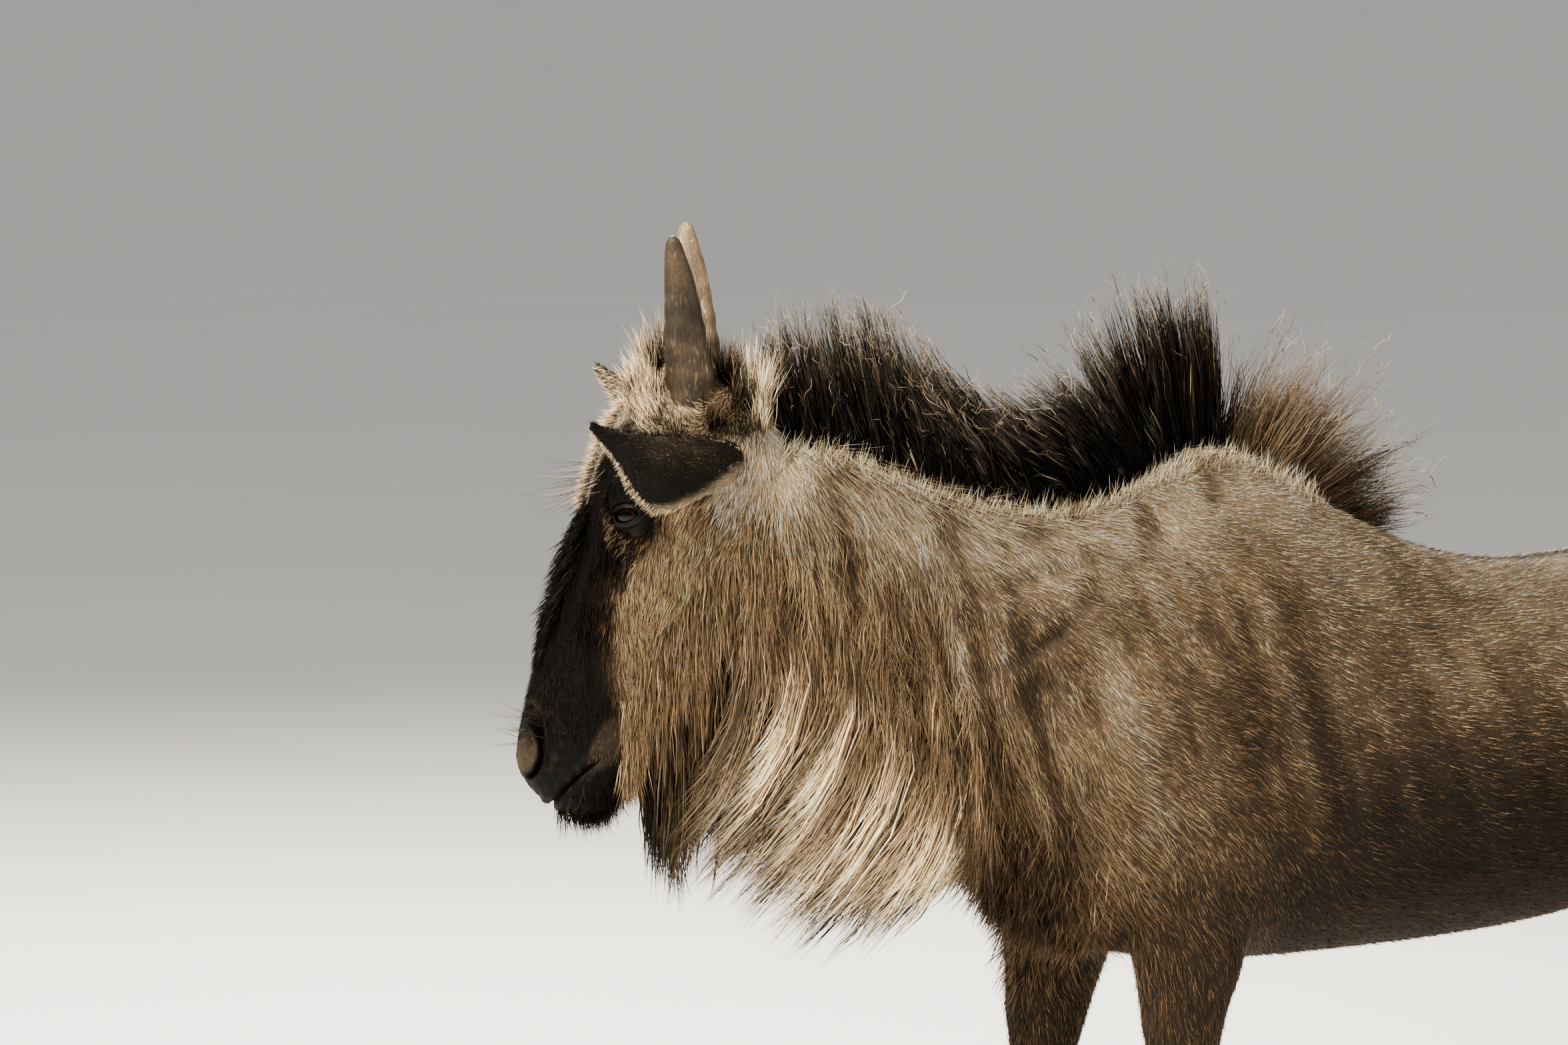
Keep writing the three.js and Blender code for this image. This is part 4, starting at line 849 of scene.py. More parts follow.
def body_markings(points):
    """Pale crest, dark legs, creases of the neck painted dark as painted shade, the ridge of the neck painted
    pale as a painted highlight, brindle and a dark line along the back; the top of the back is paler and the
    chest, lower flanks and belly darker, partly the coat's own tone and partly painted light from above and
    painted shade below.
    """
    hide, pale, dark, black = coat_tones()
    x, y, z = points.T
    below = crest_height(x) - z
    base = laid(
        np.broadcast_to(hide, points.shape),
        (pale, 0.55 * smooth(110, 8, below) * (1 - smooth(-150, -20, x))),
        (pale, 0.75 * smooth(110, 6, below) * smooth(-190, -60, x) * (1 - smooth(60, 260, x))),
        # By height the top of the back is painted paler and the chest, lower flanks and belly darker: partly
        # the coat's own tone, partly painted light from above and painted shade below.
        (pale, 0.35 * smooth(150, 0, below) * smooth(90, 300, x)),
        (dark * 1.5, 0.75 * smooth(790, 640, z) * smooth(-160, 40, x)),
        (dark, 0.85 * smooth(800, 650, z) * smooth(40, 140, x)),
        (black * 1.3, 0.85 * smooth(660, 550, z) * smooth(-30, 60, x)),
        (dark * 1.1, 0.6 * bell(x + 0.3 * (z - 700) - 62, 24) * smooth(900, 760, z) * smooth(520, 600, z)),
        (dark * 1.3, 0.75 * smooth(660, 540, z)),
        (dark, 0.85 * smooth(-150, -215, x) * smooth(720, 630, z)),
    )
    # Each crease is painted darker, as painted shade in the fold.
    for line, reach, share in SHADED_CREASES:
        away, place = to_line(points, line)
        depth = share * bell(away, reach) * np.sin(math.pi * np.clip(place, 0.1, 0.9))
        base = laid(base, (dark * 0.8, depth))
    streak = noise(column(x + 0.25 * z, y * 0.6, z * 0.12), 13, 14)
    streak = streak + 0.6 * noise(column(x + 0.25 * z, y * 0.6, z * 0.1), 27, 15)
    zone = mix(1.0, 0.35, smooth(-60, 60, x)) * smooth(600, 700, z)
    spine = smooth(24, 3, np.abs(y) + 5 * noise(points, 9, 39))
    return laid(
        base,
        # The ridge of the neck is painted pale, as a painted highlight on its edge.
        (pale, 0.5 * bell(to_line(points, NECK_RIDGE)[0], 7)),
        (dark * 1.2, 0.55 * zone * smooth(0.1, 0.75, streak)),
        (pale, 0.4 * zone * smooth(0.15, 0.9, -streak)),
        (black * 1.4, 0.8 * spine * smooth(20, 60, x) * smooth(870, 890, z)),
        (dark * 1.25, 0.85 * smooth(480, 300, z)),
        (dark * 0.7, 0.6 * smooth(110, 60, z)),
        (black, smooth(680, 735, x) * smooth(850, 800, z) * 0.7),
    )


def face_markings(points):
    """Black face and muzzle, brown cheek, pale forehead and crown, the worn skin of the nostrils, and their
    slits painted darker than the black face as painted shade.
    """
    hide, pale, dark, black = coat_tones()
    s, y, h = head_measures(points).T
    out = np.abs(y)
    over_edge = h - (face_edge(s) + 5 * noise(points, 16, 17))
    behind_crown = smooth(58, 84, s + 0.3 * h)
    forehead = np.interp(s + 9 * noise(points, 11, 37), [20, 90, 130, 156], [42, 28, 16, -12]) - out
    forehead_tone = mix(pale * 1.05, hide, 0.5 * smooth(0, 0.8, noise(points, 8, 38))[:, None])
    round_eye = np.linalg.norm(points - eye_centre(np.where(y < 0, -1, 1)), axis=1)
    flap = np.minimum(np.hypot((s - 376) / 27, (h - 52) / 13), np.hypot((s - 335) / 9, (h - 68) / 9))
    worn = mix(0.5, 1.0, smooth(352, 380, s + 7 * noise(points, 7, 40)))[:, None]
    slit, wide, _ = nostril_distance(s, h)
    return laid(
        np.broadcast_to(hide, points.shape),
        (pale * 0.95, 0.75 * bell(np.hypot(s - 30, h - 92), 34) * smooth(24, 40, out + 14 * (out < 30))),
        (hide * 1.15, 0.5 * smooth(-20, 60, s) * smooth(150, 90, s) * smooth(30, -10, h)),
        (dark * 1.1, smooth(-22, 4, over_edge) * behind_crown),
        (black * 1.1, smooth(-2, 16, over_edge) * behind_crown),
        (forehead_tone, smooth(-4, 7, forehead) * smooth(84, 98, h) * smooth(-4, 8, s)),
        (hide * 0.8,
         0.6 * bell(round_eye - 27, 9) * smooth(110, 128, s + 0.3 * (h - 66)) * smooth(84, 64, h)),
        (hide * 0.72, 0.9 * smooth(1.3, 0.7, np.hypot((s - 330) / 30, (h + 14) / 15))),
        (hide * worn, 0.85 * smooth(1.25, 0.65, flap) * smooth(12, 22, out)),
        # The nostril's slit is painted darker than the black face, as painted shade in its hollow.
        (black * 0.5, 0.95 * smooth(wide + 1.6, wide - 0.8, slit) * smooth(10, 18, out)),
        (dark * 1.3, 0.8 * smooth(322, 345, s) * smooth(0.0, 0.8, noise(points, 5, 33)) * smooth(40, 26, h)),
        (black, 0.8 * smooth(-30, -50, h) * smooth(330, 352, s)),
        (pale * 1.1, smooth(1.2, 0.7, np.hypot((s - 44) / 34, (h + 16) / 26))),
    )


def ear_markings(points):
    """Ears that are dark behind, with a lighter painted sheen in the middle of the back, and pale inside and
    along the upper edge.
    """
    hide, pale, _, black = coat_tones()
    t, edge, hollow = ear_places(points)
    light_from = np.interp(t, [0, 0.15, 0.5, 0.65, 1], [0.05, -0.25, -0.8, -1.2, -1.4])
    light = np.maximum(smooth(0.12, -0.12, edge - light_from), hollow * smooth(1.04, 0.9, t))
    # The middle of the back of the ear is painted lighter brown, as a painted sheen.
    back = mix(black * 1.5, hide * 0.62, (0.75 * bell(edge - 0.45, 0.5) * bell(t - 0.45, 0.4))[:, None])
    return mix(back * (1 + 0.3 * noise(points, 9, 35))[:, None], pale * 1.05, light[:, None])


def markings(points, part):
    """The colour of the coat at places on the skin."""
    base = np.where((part == HEADPART)[:, None], face_markings(points), body_markings(points))
    s, y, h = head_measures(points).T
    behind_ear = np.linalg.norm(column((s - 8) / 52, (np.abs(y) - 42) / 48, (h + 30) / 50), axis=1)
    base = laid(base, (tone_of("pale") * np.array([1.16, 1.12, 1.05]), smooth(1.35, 0.7, behind_ear)))
    ears = part == EARPART
    if ears.any():
        base[ears] = ear_markings(points[ears])
    uneven = 1 + 0.1 * noise(points, 45, 6) + 0.08 * noise(points, 14, 8) + 0.07 * noise(points, 7, 9)
    return base * uneven[:, None]


# Where black hair of the face begins: places along the head and how far towards the face
FACE_EDGE = np.array([
    [40, 66], [80, 54], [111, 42], [149, 52], [186, 60], [212, 52], [248, 34], [270, 20], [284, 8],
    [300, -14], [320, -30], [349, -44], [420, -70],
])
# Creases painted as dark lines in the coat, as painted shade in the folds: each line, its half width and how
# dark it is
SHADED_CREASES = [
    (NECK_CREASES[0], 7, 0.55), (NECK_CREASES[1], 6, 0.75), (NECK_CREASES[2], 7, 0.8),
    ([[-262, -72, 770], [-224, -85, 800], [-206, -86, 822]], 14, 0.8),
    (NECK_CREASES[3], 7, 0.6), (NECK_CREASES[4], 7, 0.6),
]


def face_edge(s):
    return np.interp(s, FACE_EDGE[:, 0], FACE_EDGE[:, 1])


def ear_places(points):
    """For points of the ears: how far along, from edge to edge, and 1 on the hollow side of the leaf."""
    place, edge = ear_rows(64, 41)
    place, edge = place.ravel(), edge.ravel()
    grids = [(ear_grid(word, place, edge, lift), lift < 0) for word in EARS for lift in (-1, 1)]
    index = nearest(np.vstack([grid for grid, _ in grids]), points)[0]
    leaf, spot = index // len(place), index % len(place)
    t = np.interp(place[spot], np.arange(len(EAR)), [row[0] for row in EAR])
    return t, edge[spot], np.array([hollow for _, hollow in grids])[leaf].astype(float)


CREST = np.array([
    [-446, 1014], [-415, 1022], [-363, 1000], [-321, 982], [-284, 964], [-240, 952], [-205, 948],
    [-165, 954], [-125, 964], [-90, 976], [-55, 988], [-20, 994], [12, 996], [32, 984], [90, 946],
    [138, 918], [220, 905], [700, 880],
])


def crest_height(x):
    return np.interp(x, CREST[:, 0], CREST[:, 1])


FALL = np.array([0, 0, -1.0])
# How steeply the coat lies along the body: x and degrees
SLOPES = np.array([
    [-450, 84], [-300, 74], [-230, 60], [-150, 48], [-60, 42], [20, 36], [100, 22], [250, 13], [450, 14],
    [600, 36], [720, 78],
])


def lie(points, normals, part):
    """The way the short coat lies at places on the skin, along the surface."""
    x, y, z = points.T
    slope = np.interp(x, SLOPES[:, 0], SLOPES[:, 1])
    slope = slope - 22 * smooth(110, 20, crest_height(x) - z) * smooth(-90, 20, x) * smooth(650, 560, x)
    slope = mix(slope, 66, smooth(700, 560, z) * smooth(120, 20, x))
    slope = mix(slope, 84, smooth(560, 440, z))
    slope = np.radians(slope + 9 * noise(points, 70, 21))
    field = column(np.cos(slope), 0.12 * np.sign(y), -np.sin(slope))
    s, y, h = head_measures(points).T
    head_lie = FALL + np.outer(mix(0.5, -0.12, smooth(150, 300, s)), head_direction(1, 0, 0))
    head_lie = head_lie + sideways(0.35 * np.clip(y / 60, -1, 1))
    crown = smooth(40, 10, s) * smooth(20, 60, h)
    head_lie = mix(head_lie, head_direction(-0.3, 0, 1), crown[:, None])
    field = np.where((part == HEADPART)[:, None], head_lie, field)
    for word, (side, _) in EARS.items():
        on_ear = (part == EARPART) & (np.where(y < 0, -1, 1) == side)
        field = np.where(on_ear[:, None], ear_frame(word)[1], field)
    field = field + np.cross(normals, field) * (0.22 * noise(points, 30, 22))[:, None]
    return unit(field - normals * np.einsum("ij,ij->i", field, normals)[:, None])


def sideways(amount):
    """Directions towards the head's right, by an amount for each place."""
    return head_direction(0, 1, 0) * amount[:, None]


# Strands: thin closed tapered hairs or tufts of hair, three-sided, bent from root to tip.
# Each takes a patch of this size on the map of the skin.
TUFT_PATCH = 0.003


def strands(name, finish_of, slot, hairs, rings=4):
    """One joined mesh of strands, from the arrays that hair() gives."""
    root, tip = hairs["root"], hairs["tip"]
    count = len(root)
    reach = np.linalg.norm(tip - root, axis=1, keepdims=True) / 3
    first = root + unit(hairs["leave"]) * reach
    second = tip - unit(hairs["arrive"]) * reach
    t = np.linspace(0, 1, rings + 1)[None, :, None]
    p0, p1, p2, p3 = (p[:, None] for p in (root, first, second, tip))
    line = (1 - t) ** 3 * p0 + 3 * (1 - t) ** 2 * t * p1 + 3 * (1 - t) * t ** 2 * p2 + t ** 3 * p3
    along = 3 * (1 - t) ** 2 * (p1 - p0) + 6 * (1 - t) * t * (p2 - p1) + 3 * t ** 2 * (p3 - p2)
    along = unit(along)
    flat = np.broadcast_to(hairs["across"][:, None], along.shape)
    flat = unit(flat - along * np.einsum("nrk,nrk->nr", flat, along)[..., None])
    thin = np.cross(along, flat)
    turn = 2 * math.pi * hairs["turns"][:, None] * t[..., 0] + hairs["phase"][:, None]
    swing = hairs["curl"][:, None] * t[..., 0] ** 1.3
    line = line + flat * (swing * np.sin(turn))[..., None] + thin * (swing * np.cos(turn))[..., None]
    profile = np.interp(np.arange(rings) / rings, [0, 0.3, 0.7, 1], [0.8, 1, 0.66, 0.2])
    size = hairs["width"][:, None, None] * profile[None, :, None]
    middle, flat, thin = line[:, :-1], flat[:, :-1], thin[:, :-1]
    ring = np.stack([middle + flat * size / 2, middle + thin * size * 0.42, middle - flat * size / 2], axis=2)
    points = np.concatenate([ring.reshape(count, -1, 3), line[:, -1:]], axis=1)
    end, last = rings * 3, rings * 3 - 3
    triangles = [[0, 2, 1]] + [[last + k, last + (k + 1) % 3, end] for k in range(3)]
    offset = (np.arange(count) * (end + 1))[:, None, None]
    quads = (ring_faces(rings, 3)[None, :, ::-1] + offset).reshape(-1, 4)
    triangles = (np.array(triangles)[None, :, ::-1] + offset).reshape(-1, 3)
    mesh = mesh_of(name, points.reshape(-1, 3), quads, triangles)
    place = np.append(np.repeat(np.arange(rings) / rings, 3), 1.0)
    blend = place[None, :, None] ** hairs["fade"]
    tones = mix(hairs["root_tone"][:, None], hairs["tip_tone"][:, None], blend)
    paint(mesh, "coat", tones.reshape(-1, 3))
    aside = np.append(np.tile([0.0, 0.5, 1.0], rings), 0.5)
    patch = np.stack([aside, place], -1) * TUFT_PATCH - TUFT_PATCH / 2
    root_uv = hairs["uv"] if "uv" in hairs else made["skin"]["vertex_uv"][skin_near(root)]
    vertex_uv = (root_uv[:, None] + patch[None]).reshape(-1, 2)
    corners = np.concatenate([quads.ravel(), triangles.ravel()])
    layer = mesh.uv_layers.new(name="OFBake")
    layer.uv.foreach_set("vector", np.clip(vertex_uv[corners], 0, 1).ravel().astype(np.float32))
    finish(object_of(name, mesh, materials()[finish_of]), slot)


def tangled(rng, count, amount):
    return rng.normal(0, amount, (count, 3))


def hair(rng, root, tip, leave, arrive, root_tone, tip_tone, width, **given):
    """Arrays of single hairs, or of guides of locks, with what isn't given drawn at random."""
    count = len(root)
    return {
        "root": root, "tip": tip, "leave": leave, "arrive": arrive, "across": tangled(rng, count, 1),
        "root_tone": np.broadcast_to(root_tone, (count, 3)),
        "tip_tone": np.broadcast_to(tip_tone, (count, 3)),
        "width": width * rng.uniform(0.75, 1.3, count), "curl": rng.uniform(1, 5, count),
        "turns": rng.uniform(0.6, 1.6, count), "phase": rng.uniform(0, 6.3, count),
        "spread": rng.uniform(5, 9, count), "tip_spread": rng.uniform(2, 7, count),
        "stray": 2.5, "short": 0.6, "fade": 1.0, "glint": 0.0, **given,
    }


def from_folds(x, z):
    """Distance from the middle of the shoulder's folds, seen from the side."""
    return np.hypot(x + 215, z - 860)


def coat_measures(place, part):
    """Length and width of the coat's tufts, the size of a tuft's patch, and the share that stands."""
    sizes = bpy.context.scene.wildebeest_sizes
    x, _, z = place.T
    s, _, h = head_measures(place).T
    on_body, on_head = part == BODY, part == HEADPART
    high = smooth(250, 560, z)
    folds = bell(from_folds(x, z), 90)
    length = sizes.coat_length * mix(0.5, 1.0, high) * mix(1.3, 0.8, smooth(-260, 0, x)) * (1 - 0.35 * folds)
    length = length * (1 + 1.1 * smooth(HOOF_TOP + 26, HOOF_TOP + 8, z) + 1.2 * bell(z - 118, 26))
    eye_distance = np.minimum(*(np.linalg.norm(place - eye_centre(side), axis=1) for side in (-1, 1)))
    face = mix(15.0, 9.0, smooth(-12, 12, h - face_edge(s)))
    face = mix(face, 3.5, smooth(1.3, 1.0, np.hypot((s - 324) / 19, (h + 14) / 14)))
    face = mix(face, 3.5, smooth(330, 362, s))
    face = mix(4.0, face, smooth(22, 40, eye_distance))
    length = np.where(on_body, length, np.where(on_head, face, 8.0))
    front = smooth(160, -60, x) * high
    width = np.where(on_body, sizes.coat_width * mix(1.35, 1.0, front), np.where(on_head, 0.95, 0.9))
    cell = mix(4.9, 3.45, front) * mix(1.0, 1.16, smooth(640, 520, z) * smooth(-60, 60, x))
    cell = np.where(on_body, cell, np.where(on_head, 2.43, 3.2))
    bare = 0.85 * smooth(366, 388, s) + 0.9 * smooth(1.4, 1, np.hypot((s - 372) / 24, (h - 54) / 14))
    return length, width, cell, np.where((z < HOOF_TOP + 3) | (eye_distance < 20.5), 0, 1 - bare * on_head)


def coat_piece(name, slot, rng, roots, lift, stretch):
    """Short hairs in tufts that lie along the skin, painted darker at the root as painted shade and lighter
    at the tip as a painted highlight, more so high on the body.
    """
    place, normal, uv, part = roots
    count, x = len(place), place[:, 0]
    along = lie(place, normal, part)
    clump = 0.3 * noise(place, 9, 24) + 0.25 * noise(place, 33, 26)
    clump = clump * np.where(part == BODY, smooth(220, -160, x), 1.2)
    way = unit(along + np.cross(normal, along) * clump[:, None] + tangled(rng, count, 0.12))
    length, width, _, _ = coat_measures(place, part)
    length = (length * stretch * rng.uniform(0.65, 1.3, count))[:, None]
    up = lift * rng.uniform(0.3, 1.8, count)[:, None]
    tone = markings(place, part) * (1 + rng.normal(0, 0.2, count) + 0.2 * noise(place, 7, 25))[:, None]
    # Roots are painted darker as painted shade among the tufts, and tips lighter as painted highlights from
    # light above, the more the higher on the body.
    tip_highlight = 1 + (rng.uniform(0.15, 0.95, count) * mix(0.4, 1.0, smooth(300, 560, place[:, 2])))[:, None]
    strands(name, "hair", slot, hair(
        rng, place - normal * 0.8, place + way * length + normal * (length * up),
        unit(way + normal * (0.3 + 1.4 * up)), unit(way - normal * 0.12), tone * 0.6, tone * tip_highlight,
        width / np.sqrt(stretch),
        across=np.cross(normal, way), uv=uv, curl=np.zeros(count)), rings=1)


def children(rng, guides, each):
    """Strands gathered into locks round guides. Each guide gives the spread at its root and its tip."""
    pick = np.repeat(np.arange(len(guides["root"])), each)
    total = len(pick)
    of = {key: value[pick] for key, value in guides.items() if np.ndim(value)}
    along = unit(of["tip"] - of["root"])
    flat = unit(of["across"] - along * np.einsum("ij,ij->i", of["across"], along)[:, None])
    turn = rng.uniform(0, 2 * math.pi, total)
    out = np.sqrt(rng.random(total))
    second = np.cross(along, flat)
    offset = flat * (np.cos(turn) * out)[:, None] + second * (0.7 * np.sin(turn) * out)[:, None]
    root = of["root"] + offset * of["spread"][:, None]
    tip = root + (of["tip"] - of["root"]) * rng.uniform(guides["short"], 1.04, total)[:, None]
    tip = tip + offset * (of["tip_spread"] - of["spread"])[:, None] + tangled(rng, total, guides["stray"])
    shade = np.where(rng.random(total) < guides["glint"], 2.8, 1 + rng.normal(0, 0.2, total))[:, None]
    return hair(
        rng, root, tip, unit(of["leave"] + tangled(rng, total, 0.1)),
        unit(of["arrive"] + tangled(rng, total, 0.16)), of["root_tone"] * shade,
        of["tip_tone"] * shade, of["width"], fade=guides["fade"],
        across=flat + tangled(rng, total, 0.3), curl=of["curl"] * rng.uniform(0.6, 1.3, total),
        turns=of["turns"] * rng.uniform(0.85, 1.15, total), phase=of["phase"] + rng.normal(0, 0.5, total))


# Crest of the mane: root x, y, z, then tip x and z
MANE = [
    [-446, 103, 1014, -441, 1116], [-415, 87, 1022, -430, 1150], [-363, 64, 1000, -388, 1160],
    [-321, 47, 982, -346, 1168], [-284, 33, 964, -312, 1146], [-240, 20, 952, -278, 1114],
    [-205, 12, 948, -250, 1088], [-165, 5, 954, -220, 1078], [-125, 2, 964, -192, 1082],
    [-90, 0, 976, -160, 1124], [-55, 0, 988, -108, 1168], [-20, 0, 994, -46, 1194], [12, 0, 996, 8, 1190],
]
MANE_REAR = [
    [14, 0, 994, 46, 1146], [32, 0, 984, 108, 1126], [50, 0, 972, 172, 1106], [70, 0, 960, 200, 1060],
    [90, 0, 946, 232, 1012], [112, 0, 932, 244, 972], [138, 0, 918, 256, 940],
]
# How strongly the mane bends forward at each of its stations
MANE_BEND = [0.5, 0.4, 0.5, 0.8, 1.2, 1.7, 2.1, 2.2, 1.8, 1.0, 0.4, 0.2, 0.1]
# Beard of the throat: root x, y, z, tip x and z, and half the width over which it grows
BEARD = [
    [-452, 106, 846, -528, 640, 36], [-422, 92, 820, -506, 603, 48], [-382, 74, 788, -478, 596, 56],
    [-346, 58, 762, -448, 548, 58], [-308, 42, 734, -397, 540, 52], [-276, 32, 702, -351, 537, 46],
    [-250, 24, 672, -308, 562, 40], [-232, 18, 650, -282, 600, 36],
]
# Beard of the jaw: s, h, how far it hangs, and half the width
CHIN = [
    [196, -56, 240, 26], [232, -48, 230, 26], [268, -42, 218, 24], [304, -38, 188, 21], [340, -34, 132, 16],
]


def long_and_short(rng, count, share, short, long):
    """Reaches drawn from two ranges, with that share of short ones."""
    return np.where(rng.random(count) < share, rng.uniform(*short, count), rng.uniform(*long, count))


def mane_guides(rng, low, high, count, root_tone, tip_tone, width, clumped):
    """Guides of the mane between two of its stations. Where it is clumped, they gather in ranks."""
    place = low + (np.arange(count) + rng.random(count)) / count * (high - low)
    place = mix(place, np.round(place * 4.5) / 4.5, clumped)
    x, y, z, tip_x, tip_z = read_table(MANE, place).T
    bend = np.interp(place, np.arange(len(MANE)), MANE_BEND)
    rank = rng.uniform(-1, 1, count)
    reach = (1 - 0.2 * rank ** 2) * long_and_short(rng, count, 0.4, (0.45, 0.9), (0.82, 1.03))
    root = column(x + rank * 8 + rng.normal(0, 2, count), y + rank * 17, z - 8 * np.abs(rank) - 3)
    tip = column(mix(x, tip_x, reach) + rank * 15 - 9 * bend, y + rank * 33, mix(root[:, 2], tip_z, reach))
    tip = tip + tangled(rng, count, mix(7, 3, clumped))
    straight = unit(tip - root)
    turn = (unit(column(0.1 * np.sign(tip_x - x), rank * 0.25, 1)) - straight) * 0.8
    arrive = straight - turn * bend[:, None] + column(-0.12 * bend, 0, rng.uniform(-0.3, 0.25, count))
    light = rng.uniform(0, 0.35, count)[:, None]
    return hair(
        rng, root, tip, straight + turn, arrive, root_tone, mix(root_tone, tip_tone, light), width,
        across=column(1, rng.uniform(-0.5, 0.5, count), 0), spread=rng.uniform(3, 7, count),
        tip_spread=rng.uniform(1, 5, count), curl=rng.uniform(0.5, 4, count), fade=4.0, glint=0.07)


def fan_guides(rng, count, root_tone, tip_tone, width):
    """Guides of the soft hair that fans back from the withers and along the spine."""
    place = rng.random(count) ** 0.9 * (len(MANE_REAR) - 1)
    x, _, z, tip_x, tip_z = read_table(MANE_REAR, place).T
    rank = rng.uniform(-1, 1, count)
    reach = (1 - 0.2 * rank ** 2) * rng.uniform(0.4, 1.04, count)
    root = column(x + rng.normal(0, 6, count), rank * 16, z - 8 * np.abs(rank) - 3)
    tip = column(mix(root[:, 0], tip_x, reach), rank * 32, mix(root[:, 2], tip_z, reach))
    tip = tip + tangled(rng, count, 8)
    straight = unit(tip - root)
    turn = (unit(column(0.35, rank * 0.25, 1)) - straight) * 0.35
    light = (0.4 + 0.6 * rng.random(count)) * mix(1.0, 0.25, smooth(2.5, 4.5, place))
    light = (light * mix(0.3, 1.0, smooth(0, 1, place)))[:, None]
    return hair(
        rng, root, tip, straight + turn,
        straight - turn * 1.3 + column(0, 0, rng.uniform(-0.45, 0.35, count)),
        root_tone, mix(root_tone, tip_tone, light), width, across=column(1, rng.uniform(-0.5, 0.5, count), 0),
        spread=rng.uniform(5, 10, count), tip_spread=rng.uniform(6, 15, count), stray=3.5,
        curl=rng.uniform(2, 6, count), turns=rng.uniform(0.8, 2.0, count), short=0.5, fade=0.9)


def curly_tips(rng, guides, count, tone, width):
    """Fine pale curls at the ends of the hair."""
    pick = rng.integers(0, len(guides["root"]), count)
    arrive = unit(guides["arrive"][pick])
    start = guides["tip"][pick] - arrive * rng.uniform(8, 22, count)[:, None] + tangled(rng, count, 5.0)
    way = unit(arrive + tangled(rng, count, 0.45) + column(0, 0, 0.25))
    tone = tone * rng.uniform(0.6, 1.15, count)[:, None]
    return hair(
        rng, start, start + way * rng.uniform(16, 34, count)[:, None], arrive, way + tangled(rng, count, 0.5),
        tone * 0.45, tone, width, curl=rng.uniform(1.5, 4.5, count), turns=rng.uniform(0.8, 2.0, count),
        uv=made["skin"]["vertex_uv"][skin_near(guides["root"][pick])])


def beard_guides(rng, count, width):
    """Guides of the throat's beard, which falls and then sweeps forward, dark inside and pale outside."""
    hide, pale, black = tone_of("hide"), tone_of("pale"), tone_of("black")
    place = rng.random(count) * (len(BEARD) - 1)
    x, y, z, tip_x, tip_z, half = read_table(BEARD, place).T
    rank = rng.uniform(-1, 1, count)
    outer = np.abs(rank)
    root = onto_skin(column(x + 8 * outer, y + rank * half * 0.8, z + 34 * outer ** 2 + 4), 2)
    reach = (1 - 0.08 * outer) * long_and_short(rng, count, 0.3, (0.55, 0.9), (0.9, 1.15))
    tip = column(
        mix(x, tip_x, reach) + rng.uniform(-12, 8, count), y + rank * half * 0.62 + (x - tip_x) * 0.12,
        mix(z, tip_z, reach)) + tangled(rng, count, 5)
    band = 0.5 + 0.5 * np.sin(place * 5.2 + rank * 3 + rng.normal(0, 0.5, count))
    light = (smooth(0.05, 0.55, outer) * (0.45 + 0.55 * band) * mix(0.6, 1, smooth(0.2, 1.2, place)))[:, None]
    return hair(
        rng, root, tip, column(rng.uniform(0.1, 0.4, count), rank * 0.3, -1),
        column(rng.uniform(-1.6, -0.8, count), 0.35 - rank * 0.2, -1), mix(black * 1.6, hide * 1.05, light),
        mix(black * 2.2, pale * 1.35, light), width, across=column(1, rank * 0.6, 0), fade=0.8,
        spread=rng.uniform(6, 12, count))


def neck_veil(rng, count):
    """Brown hair of the lower neck, which hangs over the roots of the beard."""
    place, side = rng.random(count) * (len(BEARD) - 1), sides(rng, count)
    x, y, z, _, _, half = read_table(BEARD, place).T
    above = rng.uniform(-14, 96, count)
    aside = side * half * rng.uniform(0.75, 1.25, count)
    root = onto_skin(column(x + 0.12 * above, y + aside, z + above), 1.5)
    tone = markings(root, np.zeros(count)) * (1.2 + 0.4 * noise(root, 16, 41))[:, None]
    way = column(noise(root, 22, 42) * 0.35 - 0.1, side * 0.12, -1)
    return grown(rng, root, way, mix(64, 46, smooth(20, 90, above)), 1.1, tone, 0.2, 0.14)


def jaw_guides(rng, count, width):
    """Guides of the beard of the jaw, black in front and browner behind."""
    place = rng.random(count) * (len(CHIN) - 1)
    s, h, hang, half = read_table(CHIN, place).T
    rank = rng.uniform(-1, 1, count)
    root = onto_skin(head_point(s, rank * half * 1.15, h - 8 + 8 * np.abs(rank)), 2)
    drop = hang * (1 - 0.12 * np.abs(rank)) * rng.uniform(0.5, 1.02, count)
    tip = root + column(rng.uniform(-6, 12, count) + 12 * smooth(250, 300, s), -rank * half * 0.5, -drop)
    brown = smooth(318, 278, s) * (0.25 + 0.75 * np.abs(rank)) * rng.uniform(0.4, 1, count)
    brown = (brown + 0.2 * (rng.random(count) < 0.25))[:, None]
    black, hide = tone_of("black"), tone_of("hide")
    return hair(
        rng, root, tip, column(0.1, rank * 0.35, -1), column(rng.uniform(-0.5, 0.1, count), -rank * 0.3, -1),
        mix(black, hide * 0.6, brown), mix(black * 1.2, hide * 1.2, brown), width,
        across=np.broadcast_to(head_direction(0.3, 0.4, 1), root.shape), short=0.55)


def tail_guides(rng, count, tone):
    place = rng.uniform(4.2, 7, count)
    middle, half = tail_middle(place)
    turn = rng.uniform(0, 2 * math.pi, count)
    out = column(np.cos(turn), np.sin(turn), 0)
    root = middle + out * (half * 0.8)[:, None]
    tip = root + out * rng.uniform(0, 26, count)[:, None]
    tip = tip + FALL * (250 * rng.uniform(0.6, 1.08, count))[:, None]
    tone = tone * rng.uniform(0.7, 1.4, (count, 1))
    return hair(
        rng, root, tip, out * 0.5 + FALL, out * -0.3 + FALL, tone, tone * 1.5, 2.4,
        across=column(-out[:, 1], out[:, 0], 0), spread=rng.uniform(3, 6, count), short=0.5)


